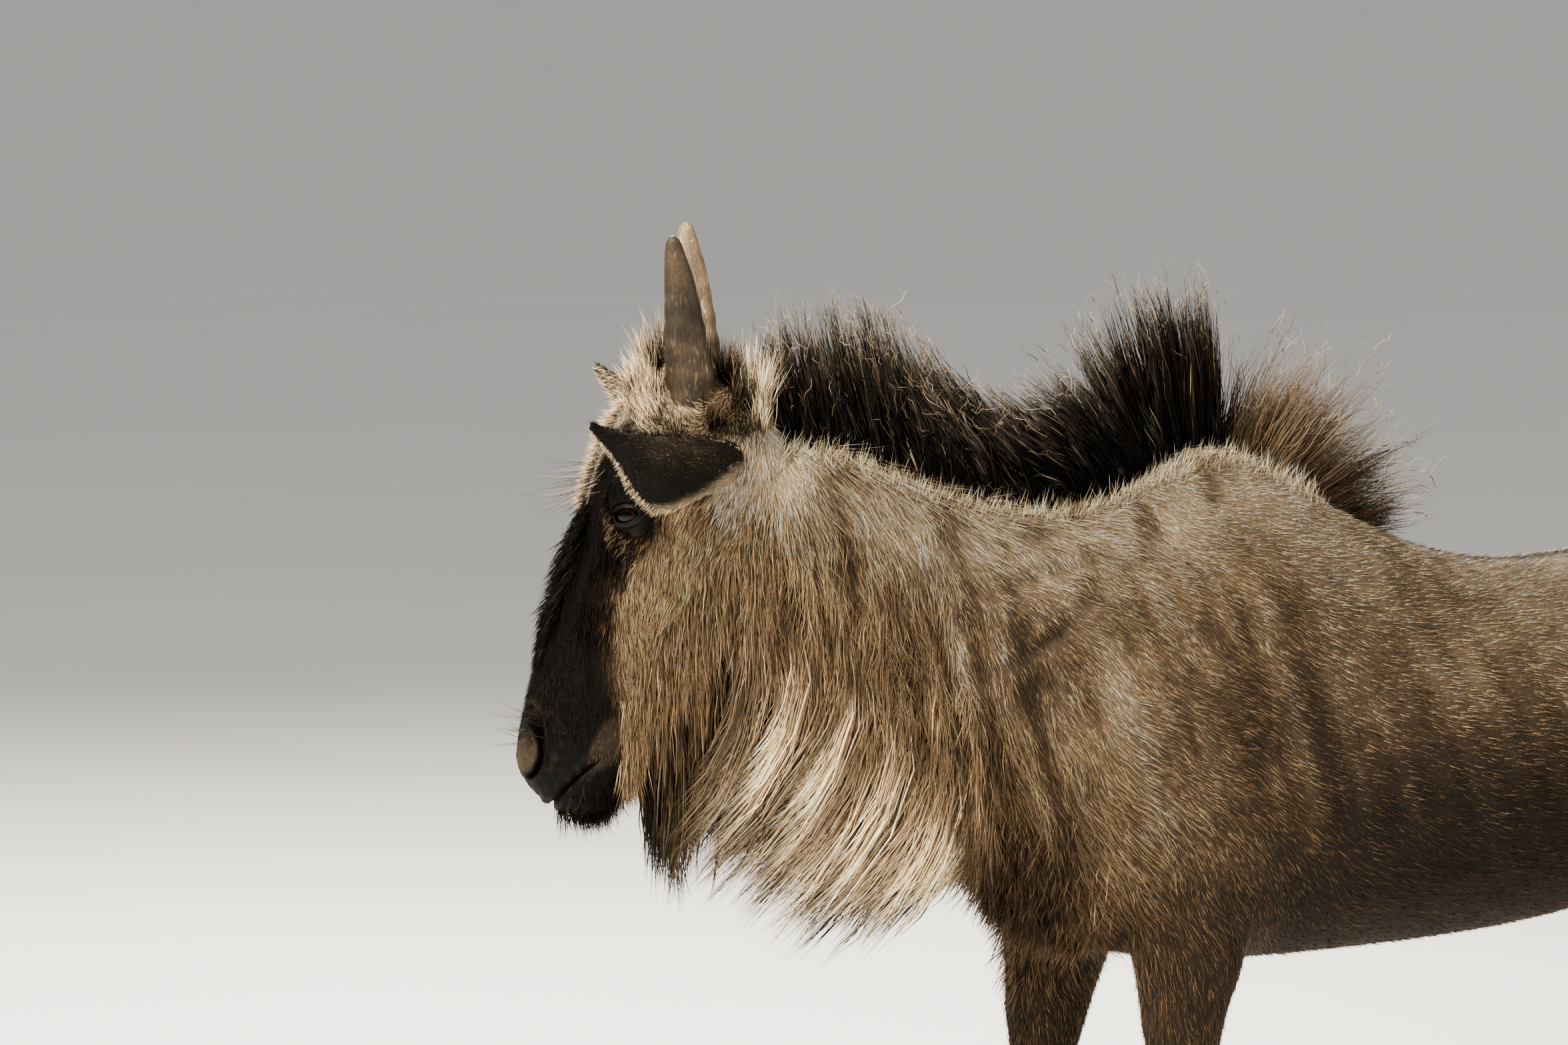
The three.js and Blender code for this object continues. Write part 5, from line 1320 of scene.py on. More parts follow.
# Crown: where tufts stand, in the head's own measures, the way they lean, and how pale they are
CROWN = [
    [14, 40, 96, -26, 6, 18, 0.7], [22, 42, 84, -18, 12, 14, 0.6], [12, 20, 102, -30, 8, 22, 0.75],
    [20, 0, 108, -24, 0, 22, 0.8], [2, 0, 104, -38, 0, 26, 0.6], [-6, 0, 92, -46, 0, 24, 0.5],
    [-14, 0, 76, -35, 0, 23, 0.1], [-20, 12, 44, -36, 10, 16, 0.1], [-14, 34, 22, -34, 16, 8, 0.1],
    [4, 50, 34, -28, 22, 4, 0.05], [-2, 42, 8, -20, 24, 6, 0.1], [30, 46, 62, -24, 20, 8, 0.3],
    [34, 30, 98, -26, 6, 10, 0.8], [30, 44, 84, -20, 12, 22, 0.85], [-20, 21, 2, -52, 8, 18, 0.85],
    [-22, 0, 12, -48, 0, 26, 0.7], [-14, 34, -10, -34, 16, 16, 0.85],
]


def crown_hairs(rng, each, dark, pale):
    table = np.array(CROWN + [row for row in CROWN if row[1]], float)
    table[len(CROWN):, [1, 4]] *= -1
    table = np.repeat(table, each, axis=0)
    count = len(table)
    s, y, h, lean_s, lean_y, lean_h, light = table.T
    spot = head_point(s, y, h) + tangled(rng, count, 6)
    bent = np.stack([noise(spot, 9, seed) for seed in (51, 52, 53)], -1) * 0.3
    way = head_direction(lean_s, lean_y, lean_h) + bent
    tone = mix(dark, pale * 1.1, np.clip(light + rng.normal(0, 0.2, count), 0, 1)[:, None])
    long = np.hypot(lean_s, lean_h) * 1.08
    return grown(rng, onto_skin(spot, 2), way, long, 0.95, tone, 0.0, 0.15, curl=rng.uniform(0.5, 3, count))


def grown(rng, root, way, long, width, tone, droop=0.0, mess=0.15, dark=0.55, **given):
    """Single hairs from roots in given ways, which droop towards their ends and are painted darker at the
    root as painted shade.
    """
    count = len(root)
    way = unit(way + tangled(rng, count, mess))
    long = long * rng.uniform(0.6, 1.25, count)
    tone = tone * rng.uniform(0.65, 1.4, (count, 1))
    tip = root + unit(way + FALL * droop * 0.5) * long[:, None]
    given = {"curl": long * rng.uniform(0, 0.07, count), **given}
    arrive = way + FALL * droop + tangled(rng, count, mess)
    # The root's tone is darkened by the share dark, as painted shade among the hairs.
    return hair(rng, root, tip, way, arrive, tone * dark, tone, width, **given)


def sides(rng, count):
    return np.where(rng.random(count) < 0.5, -1, 1)


def crest_fringe(rng, count):
    """Short pale hairs that grow up over the roots of the mane on both sides."""
    x = rng.uniform(-452, 90, count)
    rows = np.array([row[:3] for row in MANE] + [row[:3] for row in MANE_REAR[1:]], float)
    y, z = (np.interp(x, rows[:, 0], rows[:, k]) for k in (1, 2))
    side = sides(rng, count)
    root = onto_skin(column(x, y + side * rng.uniform(15, 34, count), z - rng.uniform(0, 26, count)), 1)
    way = column(0.35, side * 0.1, 1)
    tone = mix(markings(root, np.zeros(count)), tone_of("pale"), rng.uniform(0.1, 0.7, (count, 1)))
    return grown(rng, root, way, rng.uniform(8, 27, count), 0.85, tone * 1.2, 0.0, 0.3)


def nose_brush(rng, count, tone):
    """Long dark hair that lies down the bridge of the nose and stands off it."""
    s, y = rng.uniform(132, 300, count), rng.normal(0, 17, count)
    stand = np.interp(s, [132, 160, 200, 240, 300], [0.2, 0.4, 0.42, 0.3, 0.1])[:, None]
    way = head_direction(1, 0, 0) + head_direction(0, 0, 1) * stand + sideways(y / 50)
    long = np.interp(s, [132, 170, 230, 300], [24, 40, 36, 15])
    # Three in ten hairs are painted much lighter, as painted highlights on the dark hair.
    tone = tone * np.where(rng.random((count, 1)) < 0.3, 2.4, 1.3)
    root = onto_skin(head_point(s, y, 120), 1)
    return grown(rng, root, way, long, 1.2, tone, 0.6, 0.16, curl=rng.uniform(0, 3, count))


def face_veil(rng, count, tone):
    """Longer dark hair that hangs over the sides of the nose, under the eyes."""
    s, side = rng.uniform(128, 250, count), sides(rng, count)
    h = face_edge(s) + rng.uniform(-6, 44, count)
    way = FALL + head_direction(1, 0, 0) * 0.5 + sideways(side * 0.16)
    tone = tone * np.where(rng.random((count, 1)) < 0.3, 2.6, 1.4)
    root = onto_skin(head_point(s, side * 62, h), 1)
    return grown(rng, root, way, rng.uniform(14, 28, count), 1.0, tone, 0.2)


def brow_hair(rng, count, tone):
    """Dark hair round the eyes, which hangs a little over the upper lids."""
    side = sides(rng, count)
    turn = rng.uniform(0, 2 * math.pi, count)
    reach = rng.uniform(15.5, 33, count)
    spot = head_point(
        EYE_ALONG + reach * np.cos(turn) * 1.1, side * 56, EYE_HEIGHT + reach * np.sin(turn))
    way = FALL + head_direction(0.3, 0, 0.5) + sideways(side * 0.3)
    brown = (rng.random(count) < 0.75 * smooth(-0.1, 0.8, np.cos(turn)))[:, None]
    tone = mix(tone, tone_of("hide"), brown)
    return grown(rng, onto_skin(spot, 0.5), way, rng.uniform(8, 17, count), 0.8, tone, 0.2, 0.25)


def chin_hairs(rng, count, tone):
    """Short black hair of the chin and lower lip."""
    s, y, h = rng.uniform(352, 432, count), rng.normal(0, 20, count), rng.uniform(-66, 0, count)
    way = column(0.1, 0, -1) + sideways(y / 50)
    long = rng.uniform(9, 20, count) + 16 * rng.random(count) ** 5
    return grown(rng, onto_skin(head_point(s, y, h), 1), way, long, 0.75, tone, 0.3, 0.26)


def cheek_locks(rng, count):
    """Hair of the rear and lower edge of the cheek, which falls over the roots of the beard."""
    s, side, above = rng.uniform(48, 335, count), sides(rng, count), rng.uniform(0, 1, count)
    low = np.interp(s, [48, 90, 150, 240, 300, 335], [-66, -84, -72, -60, -56, -66])
    high = np.minimum(low + 50, face_edge(s) - 6)
    root = onto_skin(head_point(s, side * 60, mix(low, high, above)), 2)
    way = FALL + sideways(side * 0.12)
    long = np.interp(s, [48, 150, 240, 335], [52, 66, 66, 60]) * mix(1, 0.6, above)
    tone = tone_of("hide") * rng.uniform(0.8, 1.5, (count, 1))
    return grown(rng, root, way, long, 1.15, tone, 0.3, 0.13)


def chest_locks(rng, count):
    """Hair of the front of the chest, longer than the coat beside it."""
    x, y, z = rng.uniform(-268, -120, count), rng.normal(0, 46, count), rng.uniform(520, 700, count)
    root = onto_skin(column(x - 20, y, z - 30), 2)
    tone = markings(root, np.zeros(count)) * 1.3
    return grown(rng, root, column(-0.55, y / 110, -1), rng.uniform(20, 40, count), 1.2, tone, 0.2, 0.2)


def fold_hairs(rng, line, count, way, long, tone):
    """Short hairs along a fold of the neck, which paint the ridge as a light line of painted highlight and a
    crease as a dark line of painted shade.
    """
    line = np.array(line, float)
    place = rng.random(count) * (len(line) - 1)
    root = onto_skin(read_table(line, place) + tangled(rng, count, 1.6), 1)
    way = np.broadcast_to(way, root.shape)
    return grown(rng, root, way, long * np.ones(count), 0.9, tone, 0.1, 0.16, 0.8)


def forehead_fringe(rng, count):
    """Pale hair that stands off the forehead between the eyes."""
    s = rng.uniform(24, 150, count)
    y = rng.uniform(-1, 1, count) * np.interp(s, [24, 50, 62, 90, 130, 150], [22, 30, 36, 28, 16, 8])
    way = head_direction(0.3, 0, 1) + sideways(y / 50)
    tone = mix(tone_of("pale") * 1.1, tone_of("hide"), rng.uniform(0, 0.7, (count, 1)))
    root = onto_skin(head_point(s, y, 140), 1)
    return grown(rng, root, way, rng.uniform(9, 17, count), 0.85, tone, 0.25, 0.2)


def ear_hairs(rng, word, count):
    """Long pale hair inside an ear and a fringe along its edges."""
    t = rng.uniform(0.06, 0.98, count)
    fringe = rng.random(count) < 0.6
    low_edge = np.where(rng.random(count) < 0.8, -1.0, 1.0)
    edge = np.where(fringe, low_edge * rng.uniform(0.84, 1.0, count), rng.uniform(-0.9, 0.9, count))
    place = np.interp(t, [row[0] for row in EAR], np.arange(len(EAR)))
    root = ear_grid(word, place, edge, np.where(fringe & (rng.random(count) < 0.5), 0.8, -0.8))
    _, along, upward, opening = ear_frame(word)
    outward = upward * edge[:, None] + opening * 0.2
    inward = along * 0.9 + opening * 0.75 - upward * 0.4 * edge[:, None]
    way = np.where(fringe[:, None], outward + along * 0.7, inward)
    short = rng.uniform(5, 11, count) * (1.2 - 0.8 * t)
    long = np.where(fringe, short, rng.uniform(8, 24, count) * (1 - 0.7 * t))
    tone = np.where((low_edge > 0) & fringe, 0.3, 1.0)[:, None] * tone_of("pale")
    return grown(rng, root, way, long, 0.9, tone, 0.1, 0.18, 0.7)


def add_node(nodes, kind, values=(), **settings):
    """A new node with its settings, and the values of its inputs by name or number."""
    node = nodes.new(kind)
    for key, value in settings.items():
        setattr(node, key, value)
    for key, value in dict(values).items():
        node.inputs[key].default_value = value
    return node


def join(tree, *links):
    """Links from an output of one node to an input of another, each socket by its name or number."""
    for start, output, end, entry in links:
        tree.links.new(start.outputs[output], end.inputs[entry])


def new_group(name, kind, inputs, outputs):
    """A node group with its sockets and the nodes at its start and end."""
    group = bpy.data.node_groups.new(name, kind)
    for way, sockets in (("INPUT", inputs), ("OUTPUT", outputs)):
        for socket, value in sockets.items():
            group.interface.new_socket(socket, in_out=way, socket_type=f"NodeSocket{value}")
    return group, group.nodes.new("NodeGroupInput"), group.nodes.new("NodeGroupOutput")


def bristle_tree(material):
    """Geometry Nodes that set a bent, tapered bristle on each point, with its own way and length."""
    tree, enter, leave = new_group(
        "bristles", "GeometryNodeTree", {"Geometry": "Geometry", "Thickness": "Float", "Bend": "Float"},
        {"Geometry": "Geometry"})
    nodes = tree.nodes
    cone = add_node(nodes, "GeometryNodeMeshCone", {
        "Vertices": 5, "Side Segments": 7, "Radius Top": 0.00004, "Depth": 1,
    })
    place = add_node(nodes, "GeometryNodeInputPosition")
    parts = add_node(nodes, "ShaderNodeSeparateXYZ")
    square = add_node(nodes, "ShaderNodeMath", operation="MULTIPLY")
    bent = add_node(nodes, "ShaderNodeMath", operation="MULTIPLY")
    offset = add_node(nodes, "ShaderNodeCombineXYZ")
    shift = add_node(nodes, "GeometryNodeSetPosition")
    way = add_node(nodes, "GeometryNodeInputNamedAttribute", {"Name": "way"}, data_type="FLOAT_VECTOR")
    long = add_node(nodes, "GeometryNodeInputNamedAttribute", {"Name": "long"}, data_type="FLOAT")
    align = add_node(nodes, "FunctionNodeAlignRotationToVector", axis="Z")
    scale = add_node(nodes, "ShaderNodeCombineXYZ", {"X": 1, "Y": 1})
    grow = add_node(nodes, "GeometryNodeInstanceOnPoints")
    real = add_node(nodes, "GeometryNodeRealizeInstances")
    dress = add_node(nodes, "GeometryNodeSetMaterial", {"Material": material})
    join(
        tree, (enter, "Thickness", cone, "Radius Bottom"), (place, 0, parts, 0), (parts, "Z", square, 0),
        (parts, "Z", square, 1), (square, 0, bent, 0), (enter, "Bend", bent, 1), (bent, 0, offset, "X"),
        (cone, "Mesh", shift, "Geometry"), (offset, 0, shift, "Offset"), (enter, "Geometry", grow, "Points"),
        (shift, "Geometry", grow, "Instance"), (way, 0, align, "Vector"), (align, 0, grow, "Rotation"),
        (long, 0, scale, "Z"), (scale, 0, grow, "Scale"), (grow, "Instances", real, "Geometry"),
        (real, "Geometry", dress, "Geometry"), (dress, "Geometry", leave, "Geometry"),
    )
    return tree


def bristles(name, finish_of, hairs, thickness, bend, tone):
    """A piece of single stiff hairs from rows of roots, ways and lengths: whiskers or lashes."""
    roots, ways, lengths = (np.concatenate(rows) for rows in zip(*hairs))
    mesh = mesh_of(name, roots)
    attribute = mesh.attributes.new("way", "FLOAT_VECTOR", "POINT")
    attribute.data.foreach_set("vector", unit(ways).ravel().astype(np.float32))
    keep_value(mesh, "long", lengths / 1000)
    piece = object_of(name, mesh)
    modifier = piece.modifiers.new("bristles", "NODES")
    modifier.node_group = bristle_tree(materials()[finish_of])
    sockets = {item.name: item.identifier for item in modifier.node_group.interface.items_tree}
    modifier[sockets["Thickness"]] = thickness / 1000
    modifier[sockets["Bend"]] = bend / 1000
    plain = evaluated(piece)
    piece.modifiers.clear()
    piece.data = plain
    paint(plain, "coat", tone * (1 + 0.2 * noise(points_of(plain), 12, 3))[:, None])
    shade_smooth(plain)
    finish(piece, "dark_hair")


# Materials

def grain_group():
    """Colour broken up by fine and coarse noise, and a height for bumps, both over the surface."""
    if "coat grain" in bpy.data.node_groups:
        return bpy.data.node_groups["coat grain"]
    group, enter, leave = new_group(
        "coat grain", "ShaderNodeTree",
        {"Colour": "Color", "Scale": "Float", "Contrast": "Float", "Stretch": "Vector"},
        {"Colour": "Color", "Height": "Float"})
    nodes = group.nodes
    place = add_node(nodes, "ShaderNodeTexCoord")
    stretch = add_node(nodes, "ShaderNodeVectorMath", operation="MULTIPLY")
    fine = add_node(nodes, "ShaderNodeTexNoise", {"Detail": 4})
    coarse = add_node(nodes, "ShaderNodeTexNoise", {"Detail": 3, "Scale": 22})
    total = add_node(nodes, "ShaderNodeMath", operation="ADD")
    ranged = add_node(nodes, "ShaderNodeMapRange", {"From Min": 0.6, "From Max": 1.4})
    low = add_node(nodes, "ShaderNodeMath", {0: 1.0}, operation="SUBTRACT")
    high = add_node(nodes, "ShaderNodeMath", {0: 1.0}, operation="ADD")
    scaled = add_node(nodes, "ShaderNodeVectorMath", operation="SCALE")
    join(
        group, (place, "Object", stretch, 0), (enter, "Stretch", stretch, 1), (stretch, 0, fine, "Vector"),
        (place, "Object", coarse, "Vector"), (enter, "Scale", fine, "Scale"), (fine, "Fac", total, 0),
        (coarse, "Fac", total, 1), (total, 0, ranged, "Value"), (enter, "Contrast", low, 1),
        (enter, "Contrast", high, 1), (low, 0, ranged, "To Min"), (high, 0, ranged, "To Max"),
        (enter, "Colour", scaled, 0), (ranged, "Result", scaled, "Scale"), (scaled, 0, leave, "Colour"),
        (fine, "Fac", leave, "Height"),
    )
    return group


def painted_material(name, roughness, scale, contrast, stretch, bump, bump_depth, specular, coat=0.0):
    """A material that takes its colour from the markings on the piece, broken up by grain."""
    material = bpy.data.materials.new(name)
    material.use_nodes = True
    tree = material.node_tree
    shader = tree.nodes["Principled BSDF"]
    for key, value in (
        ("Roughness", roughness), ("Specular IOR Level", specular), ("Coat Weight", coat),
        ("Coat Roughness", 0.04),
    ):
        shader.inputs[key].default_value = value
    tone = add_node(tree.nodes, "ShaderNodeAttribute", attribute_name="coat")
    grain = add_node(tree.nodes, "ShaderNodeGroup", node_tree=grain_group())
    for key, value in (("Scale", scale), ("Contrast", contrast), ("Stretch", stretch)):
        grain.inputs[key].default_value = value
    join(tree, (tone, "Color", grain, "Colour"), (grain, "Colour", shader, "Base Color"))
    if bump:
        bumped = add_node(tree.nodes, "ShaderNodeBump", {"Strength": bump, "Distance": bump_depth})
        join(tree, (grain, "Height", bumped, "Height"), (bumped, "Normal", shader, "Normal"))
    return material


def materials():
    if "materials" not in made:
        made["materials"] = {
            "hide": painted_material("hide", 0.7, 520, 0.4, (1, 1, 0.35), 0.7, 0.0015, 0.2),
            "hair": painted_material("hair", 0.5, 160, 0.22, (1, 1, 1), 0, 0, 0.18),
            "dark hair": painted_material("dark hair", 0.5, 160, 0.3, (1, 1, 1), 0, 0, 0.14),
            "eye": painted_material("eye", 0.2, 900, 0.2, (1, 1, 1), 0, 0, 0.2, 0.15),
            "horn": painted_material("horn", 0.45, 900, 0.6, (1, 1, 0.25), 0.8, 0.0009, 0.35),
            "hoof": painted_material("hoof", 0.6, 220, 0.35, (0.5, 0.5, 2.5), 0.45, 0.0012, 0.22),
            "lid": painted_material("lid skin", 0.5, 700, 0.25, (1, 1, 1), 0.4, 0.0006, 0.25),
        }
    return made["materials"]


def finish(piece, slot, *nodes):
    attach(piece, "root")
    if nodes:
        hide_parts(*nodes)


def painted_piece(name, shape, tone, finish_of, slot, *nodes):
    """A piece from its points and faces, with its colours, material and the nodes it replaces; the slot is
    not used.
    """
    mesh = mesh_of(name, *shape)
    paint(mesh, "coat", tone)
    finish(object_of(name, mesh, materials()[finish_of]), slot, *nodes)


def circle(count):
    return np.arange(count) / count * 2 * math.pi


# Horns: how far along, the radius, and how far the middle bows back
HORN_LENGTH = 170
HORN = [
    [0, 22, 0], [0.15, 22, 0], [0.35, 19.5, 0], [0.55, 16.5, -1], [0.75, 13, -1], [0.9, 9, 0], [0.97, 6, 0],
    [1, 2, 0],
]
HORN_RINGS = 46


def horn_piece(word, side, dark, light):
    """A nearly straight horn with rings at its base and grain along it."""
    root = head_point(-2, side * 38, 62)
    along = head_turned(-0.1, side * 0.115, 1)
    outward = head_direction(0, side, 0)
    across = unit(outward - along * (outward @ along))
    back = np.cross(along, across) * side
    t, half, bow = read_table(HORN, places(HORN, 14)).T
    turn = circle(96)
    middle = root + along * (t * HORN_LENGTH)[:, None] + back * bow[:, None]
    ring = 0.55 * np.sin(t * HORN_RINGS) * (1 - smooth(0.35, 0.8, t)) * smooth(0, 0.1, t)
    groove = 0.16 * np.sin(turn * 11 + 1)[None] + 0.16 * np.sin(turn * 29)[None]
    size = half[:, None] + ring[:, None] + groove * (1 - smooth(0.5, 1, t))[:, None]
    round_it = across * (np.cos(turn) * size)[..., None] + back * (1.08 * np.sin(turn) * size)[..., None]
    shape = tube(middle[:, None] + round_it)
    points = shape[0]
    t = np.append(np.repeat(t, len(turn)), [0, 1])
    streak = np.append(np.tile(np.sin(turn * 5) * 0.3 + np.sin(turn * 31 + 2) * 0.5, len(middle)), [0, 0])
    tone = mix(dark, light, np.clip(0.4 + 0.25 * streak + 0.3 * noise(points, 18, 31), 0, 1)[:, None])
    speckle = smooth(0.2, 0.7, noise(points * np.array([1, 1, 0.4]), 1.7, 32))
    tone = mix(tone, light * 1.6, (speckle * smooth(-0.3, 0.5, noise(points, 14, 33)) * 0.5)[:, None])
    rings_seen = 0.5 + 0.5 * np.sin(t * HORN_RINGS + noise(points, 14, 34))
    tone = tone * (1 - 0.16 * rings_seen * smooth(0.85, 0.5, t))[:, None]
    painted_piece(f"horn_shell_{word}", shape, tone, "horn", "horn", f"horn_{word}")


# Eyes and lids
EYE_TONE = np.array([0.035, 0.024, 0.018])
IRIS_TONE = np.array([0.2, 0.125, 0.075])
PUPIL_TONE = np.array([0.008, 0.006, 0.005])


def eye_piece(word, side):
    """A ball with a bulge over its brown iris and an oblong pupil."""
    centre, gaze, long, across = eye_frame(side)
    turn = np.linspace(0, 2 * math.pi, 49)[:-1]
    tilt = np.linspace(0.02, math.pi - 0.02, 40)
    radius = EYE_RADIUS - 0.5 + 0.7 * bell(tilt, 0.5)
    rings = centre + gaze * (np.cos(tilt) * radius)[:, None, None] + (
        long * np.cos(turn)[None, :, None] + across * np.sin(turn)[None, :, None]
    ) * (np.sin(tilt) * radius)[:, None, None]
    shape = tube(rings)
    away = shape[0] - centre
    a, b = away @ long, away @ across
    tone = mix(EYE_TONE, IRIS_TONE, (smooth(12.5, 9.5, np.hypot(a, b)) * 0.8)[:, None])
    tone = mix(tone, PUPIL_TONE, smooth(1.15, 0.9, np.hypot(a / 7.5, b / 3.4))[:, None])
    painted_piece(f"eyeball_{word}", shape, tone, "eye", "eye", f"eye_{word}")


# Rows of the lids from the eye outwards: scale, distance from the ball's middle and shade, a painted shade
# that darkens the rows near the ball and in the fold
LID_ROWS = [
    [0.93, 15.2, 0.4], [0.97, 17.0, 0.45], [1.0, 18.3, 0.5], [1.06, 19.4, 0.6], [1.14, 19.9, 0.8],
    [1.24, 19.6, 0.9], [1.32, 19.0, 0.7], [1.42, 19.6, 0.9], [1.55, 20.0, 1.0], [1.7, 19.4, 1.0],
]
LID_BORDER_SHADE = 1.0
LID_FLATNESS = 0.92


def lid_piece(word, side, tone):
    """Rolled lids: an almond edge on the ball, a swollen rim, a fold, and a border sunk in the skin."""
    centre, gaze, long, across = eye_frame(side)
    across = across * np.sign(across[2])
    turn = circle(72)
    a = np.cos(turn) * 13.2
    b = np.sin(turn) * np.abs(np.sin(turn)) ** 0.15 * np.where(np.sin(turn) > 0, 7.0, 6.6)
    rings = []
    for scale, radius, _ in LID_ROWS:
        u, v = a * scale, b * scale
        deep = np.sqrt(np.maximum(radius ** 2 - (u ** 2 + v ** 2) * LID_FLATNESS, 9))
        rings.append(centre + long * u[:, None] + across * v[:, None] + gaze * deep[:, None])
    border = rings[-1] + (long * a[:, None] + across * b[:, None]) * 0.25 - gaze * 3
    rings.append(onto_skin(border, 1.5))
    quads = ring_faces(len(rings), len(turn))
    points = np.concatenate(rings)
    p, q, r = (points[quads[:, n]] for n in (0, 1, 2))
    if np.sum(np.cross(q - p, r - p) @ gaze) < 0:
        quads = quads[:, ::-1]
    # Each row is darkened by its painted shade, most near the ball and in the fold.
    shade = np.repeat([row[2] for row in LID_ROWS] + [LID_BORDER_SHADE], len(turn))[:, None]
    tone = tone * shade * (1 + 0.12 * noise(points, 4, 9))[:, None]
    painted_piece(f"lids_{word}", (points, quads), tone, "lid", "ear_skin")


# A claw from the ground up: height, reach of the toe and the heel, half width, and how far it leans back
CLAW = [
    [0, 55, 28, 31, 0], [1.5, 57.4, 29.6, 32.6, 0], [6, 57, 30.5, 32.8, 0], [14, 54, 31, 31.5, 0.4],
    [24, 48, 30, 29.8, 1.2], [34, 42, 29, 28, 2], [42, 36, 27.5, 26.8, 3], [47, 32.5, 26.5, 25.8, 3.7],
    [50, 30, 25, 24.6, 4],
]


def claw_piece(leg, word, outward, dark, light):
    """One of a foot's two claws, flat on the inner side, with rings of growth."""
    foot = leg_stations(leg)[-1]
    turn = circle(64)
    ahead, aside = np.cos(turn), np.sin(turn)
    z, toe, heel, out, lean = read_table(CLAW, places(CLAW, 4)).T
    long = np.where(ahead[None] > 0, toe[:, None], heel[:, None])
    point = np.abs(ahead) ** 1.12 * np.sign(ahead)
    round_it = np.abs(aside) ** 0.8
    across = np.where(aside[None] > 0, out[:, None], 2.2 * np.sin(np.clip(z / 50, 0, 1) * math.pi)[:, None])
    growth = 0.4 * np.sin(z * 1.1)[:, None]
    x = foot[0] - (long + growth) * point + lean[:, None]
    narrow = np.where(ahead > 0.8, mix(1, 0.82, smooth(0.8, 1, ahead)), 1)
    y = foot[1] + outward * (2.5 + across * round_it * narrow * np.where(aside > 0, 1, -0.5))
    shape = tube(column(x, y, z[:, None]))
    points = shape[0]
    bands = 0.5 + 0.35 * np.sin(points[:, 2] * 0.55 + noise(points, 20, 4) * 2) + 0.3 * noise(points, 9, 41)
    tone = mix(dark, light, np.clip(bands * (1 - points[:, 2] / 90), 0, 1)[:, None])
    painted_piece(f"hoof_{leg}_{word}", shape, tone, "hoof", "hoof", f"{leg}_claw_{word}")


def dew_claws(dark, light):
    """Two small rounded claws at the back of each fetlock."""
    parts = []
    for leg in LEGS:
        x, y, z = leg_stations(leg)[-4][:3]
        for outward in (-1, 1):
            t = np.linspace(0.05, math.pi - 0.05, 16)
            slide = np.cos(t)
            middle = column(x + 19 - 5 * slide, y + outward * (12 - 2 * slide), z - 6 + 12 * slide)
            size = (np.sin(t) * mix(0.85, 1.1, 0.5 - 0.5 * slide))[:, None]
            turn = circle(20)[None]
            ring = column(np.cos(turn) * size * 8.5, np.sin(turn) * size * 7, 0)
            parts.append(tube(middle[:, None] + ring))
    shape = together(parts)
    tone = mix(dark, light, (0.4 + 0.4 * noise(shape[0], 6, 2))[:, None])
    painted_piece("dew_claws", shape, tone, "hoof", "hoof")


# Settings a user would change

def size_property(name, description, millimetres):
    return bpy.props.FloatProperty(
        name=name, description=f"{description}, in millimetres", min=0, default=millimetres)


class WildebeestSizes(bpy.types.PropertyGroup):
    coat_depth: size_property("Coat depth", "How far the skin lies inside the solids of the body", 6.0)
    face_depth: size_property("Face coat depth", "How far the skin lies inside the solid of the head", 2.5)
    body_detail: size_property("Body detail", "Size of the faces of the body's skin", 6.8)
    head_detail: size_property("Head detail", "Size of the faces of the head's skin", 3.8)
    coat_length: size_property("Coat length", "Length of the tufts of the body", 14.0)
    coat_width: size_property("Tuft width", "Width of the tufts of the front of the body", 1.15)
    hair_width: size_property("Hair width", "Width of the strands of the mane and beard", 1.6)


def tone_property(name, description, default):
    return bpy.props.FloatVectorProperty(
        name=name, description=description, subtype="COLOR_GAMMA", size=3, min=0, max=1, default=default)


class WildebeestColours(bpy.types.PropertyGroup):
    hide: tone_property("Hide", "Grey-brown of the body", (0.55, 0.465, 0.362))
    pale: tone_property("Pale hair", "Light hair of the neck, beard and fringes", (0.86, 0.765, 0.635))
    dark: tone_property("Dark hair", "Brindle stripes, belly and legs", (0.22, 0.178, 0.134))
    black: tone_property("Black hair", "Mane, face and tail", (0.085, 0.07, 0.052))
    horn_dark: tone_property("Dark horn", "Dark grain of the horns", (0.185, 0.157, 0.128))
    horn_light: tone_property("Light horn", "Light grain of the horns", (0.38, 0.325, 0.255))
    hoof_dark: tone_property("Dark hoof", "Dark bands of the hooves", (0.07, 0.062, 0.055))
    hoof_light: tone_property("Light hoof", "Light bands of the hooves", (0.2, 0.168, 0.135))


# Operators

# How dark the skin under the coat is painted, as a share of the coat's own colour: painted shade in the gaps
# between the hairs
SKIN_PAINTED_SHADE = 0.52
SIDES = (("left", -1), ("right", 1))
SEEDS = {"coat": 5, "mane": 17, "beard": 29, "head_hair": 43, "tail": 61, "whiskers": 71}
# Hairs in a lock of the mane, jaw and tail, and in one of the throat, which is fuller
LOCK, FULL_LOCK = 17, 21


class WILDEBEEST_OT_skin(bpy.types.Operator):
    """One skin over the whole body, head and ears"""
    bl_idname = "wildebeest.skin"
    bl_label = "Skin"

    def execute(self, context):
        skin = make_skin(context.scene.wildebeest_sizes)
        data = made["skin"]
        # The skin takes the coat's colours darkened, as painted shade between the hairs.
        paint(skin.data, "coat", markings(data["points"], data["part"]) * SKIN_PAINTED_SHADE)
        skin.data.materials.clear()
        skin.data.materials.append(materials()["hide"])
        skin.data.polygons.foreach_set("material_index", np.zeros(len(skin.data.polygons), np.int32))
        finish(skin, "hide", *FLESH)
        return {"FINISHED"}


class WILDEBEEST_OT_eyes(bpy.types.Operator):
    """Eyes with their lids"""
    bl_idname = "wildebeest.eyes"
    bl_label = "Eyes"

    def execute(self, context):
        for word, side in SIDES:
            eye_piece(word, side)
            lid_piece(word, side, tone_of("black") * 1.1)
        return {"FINISHED"}


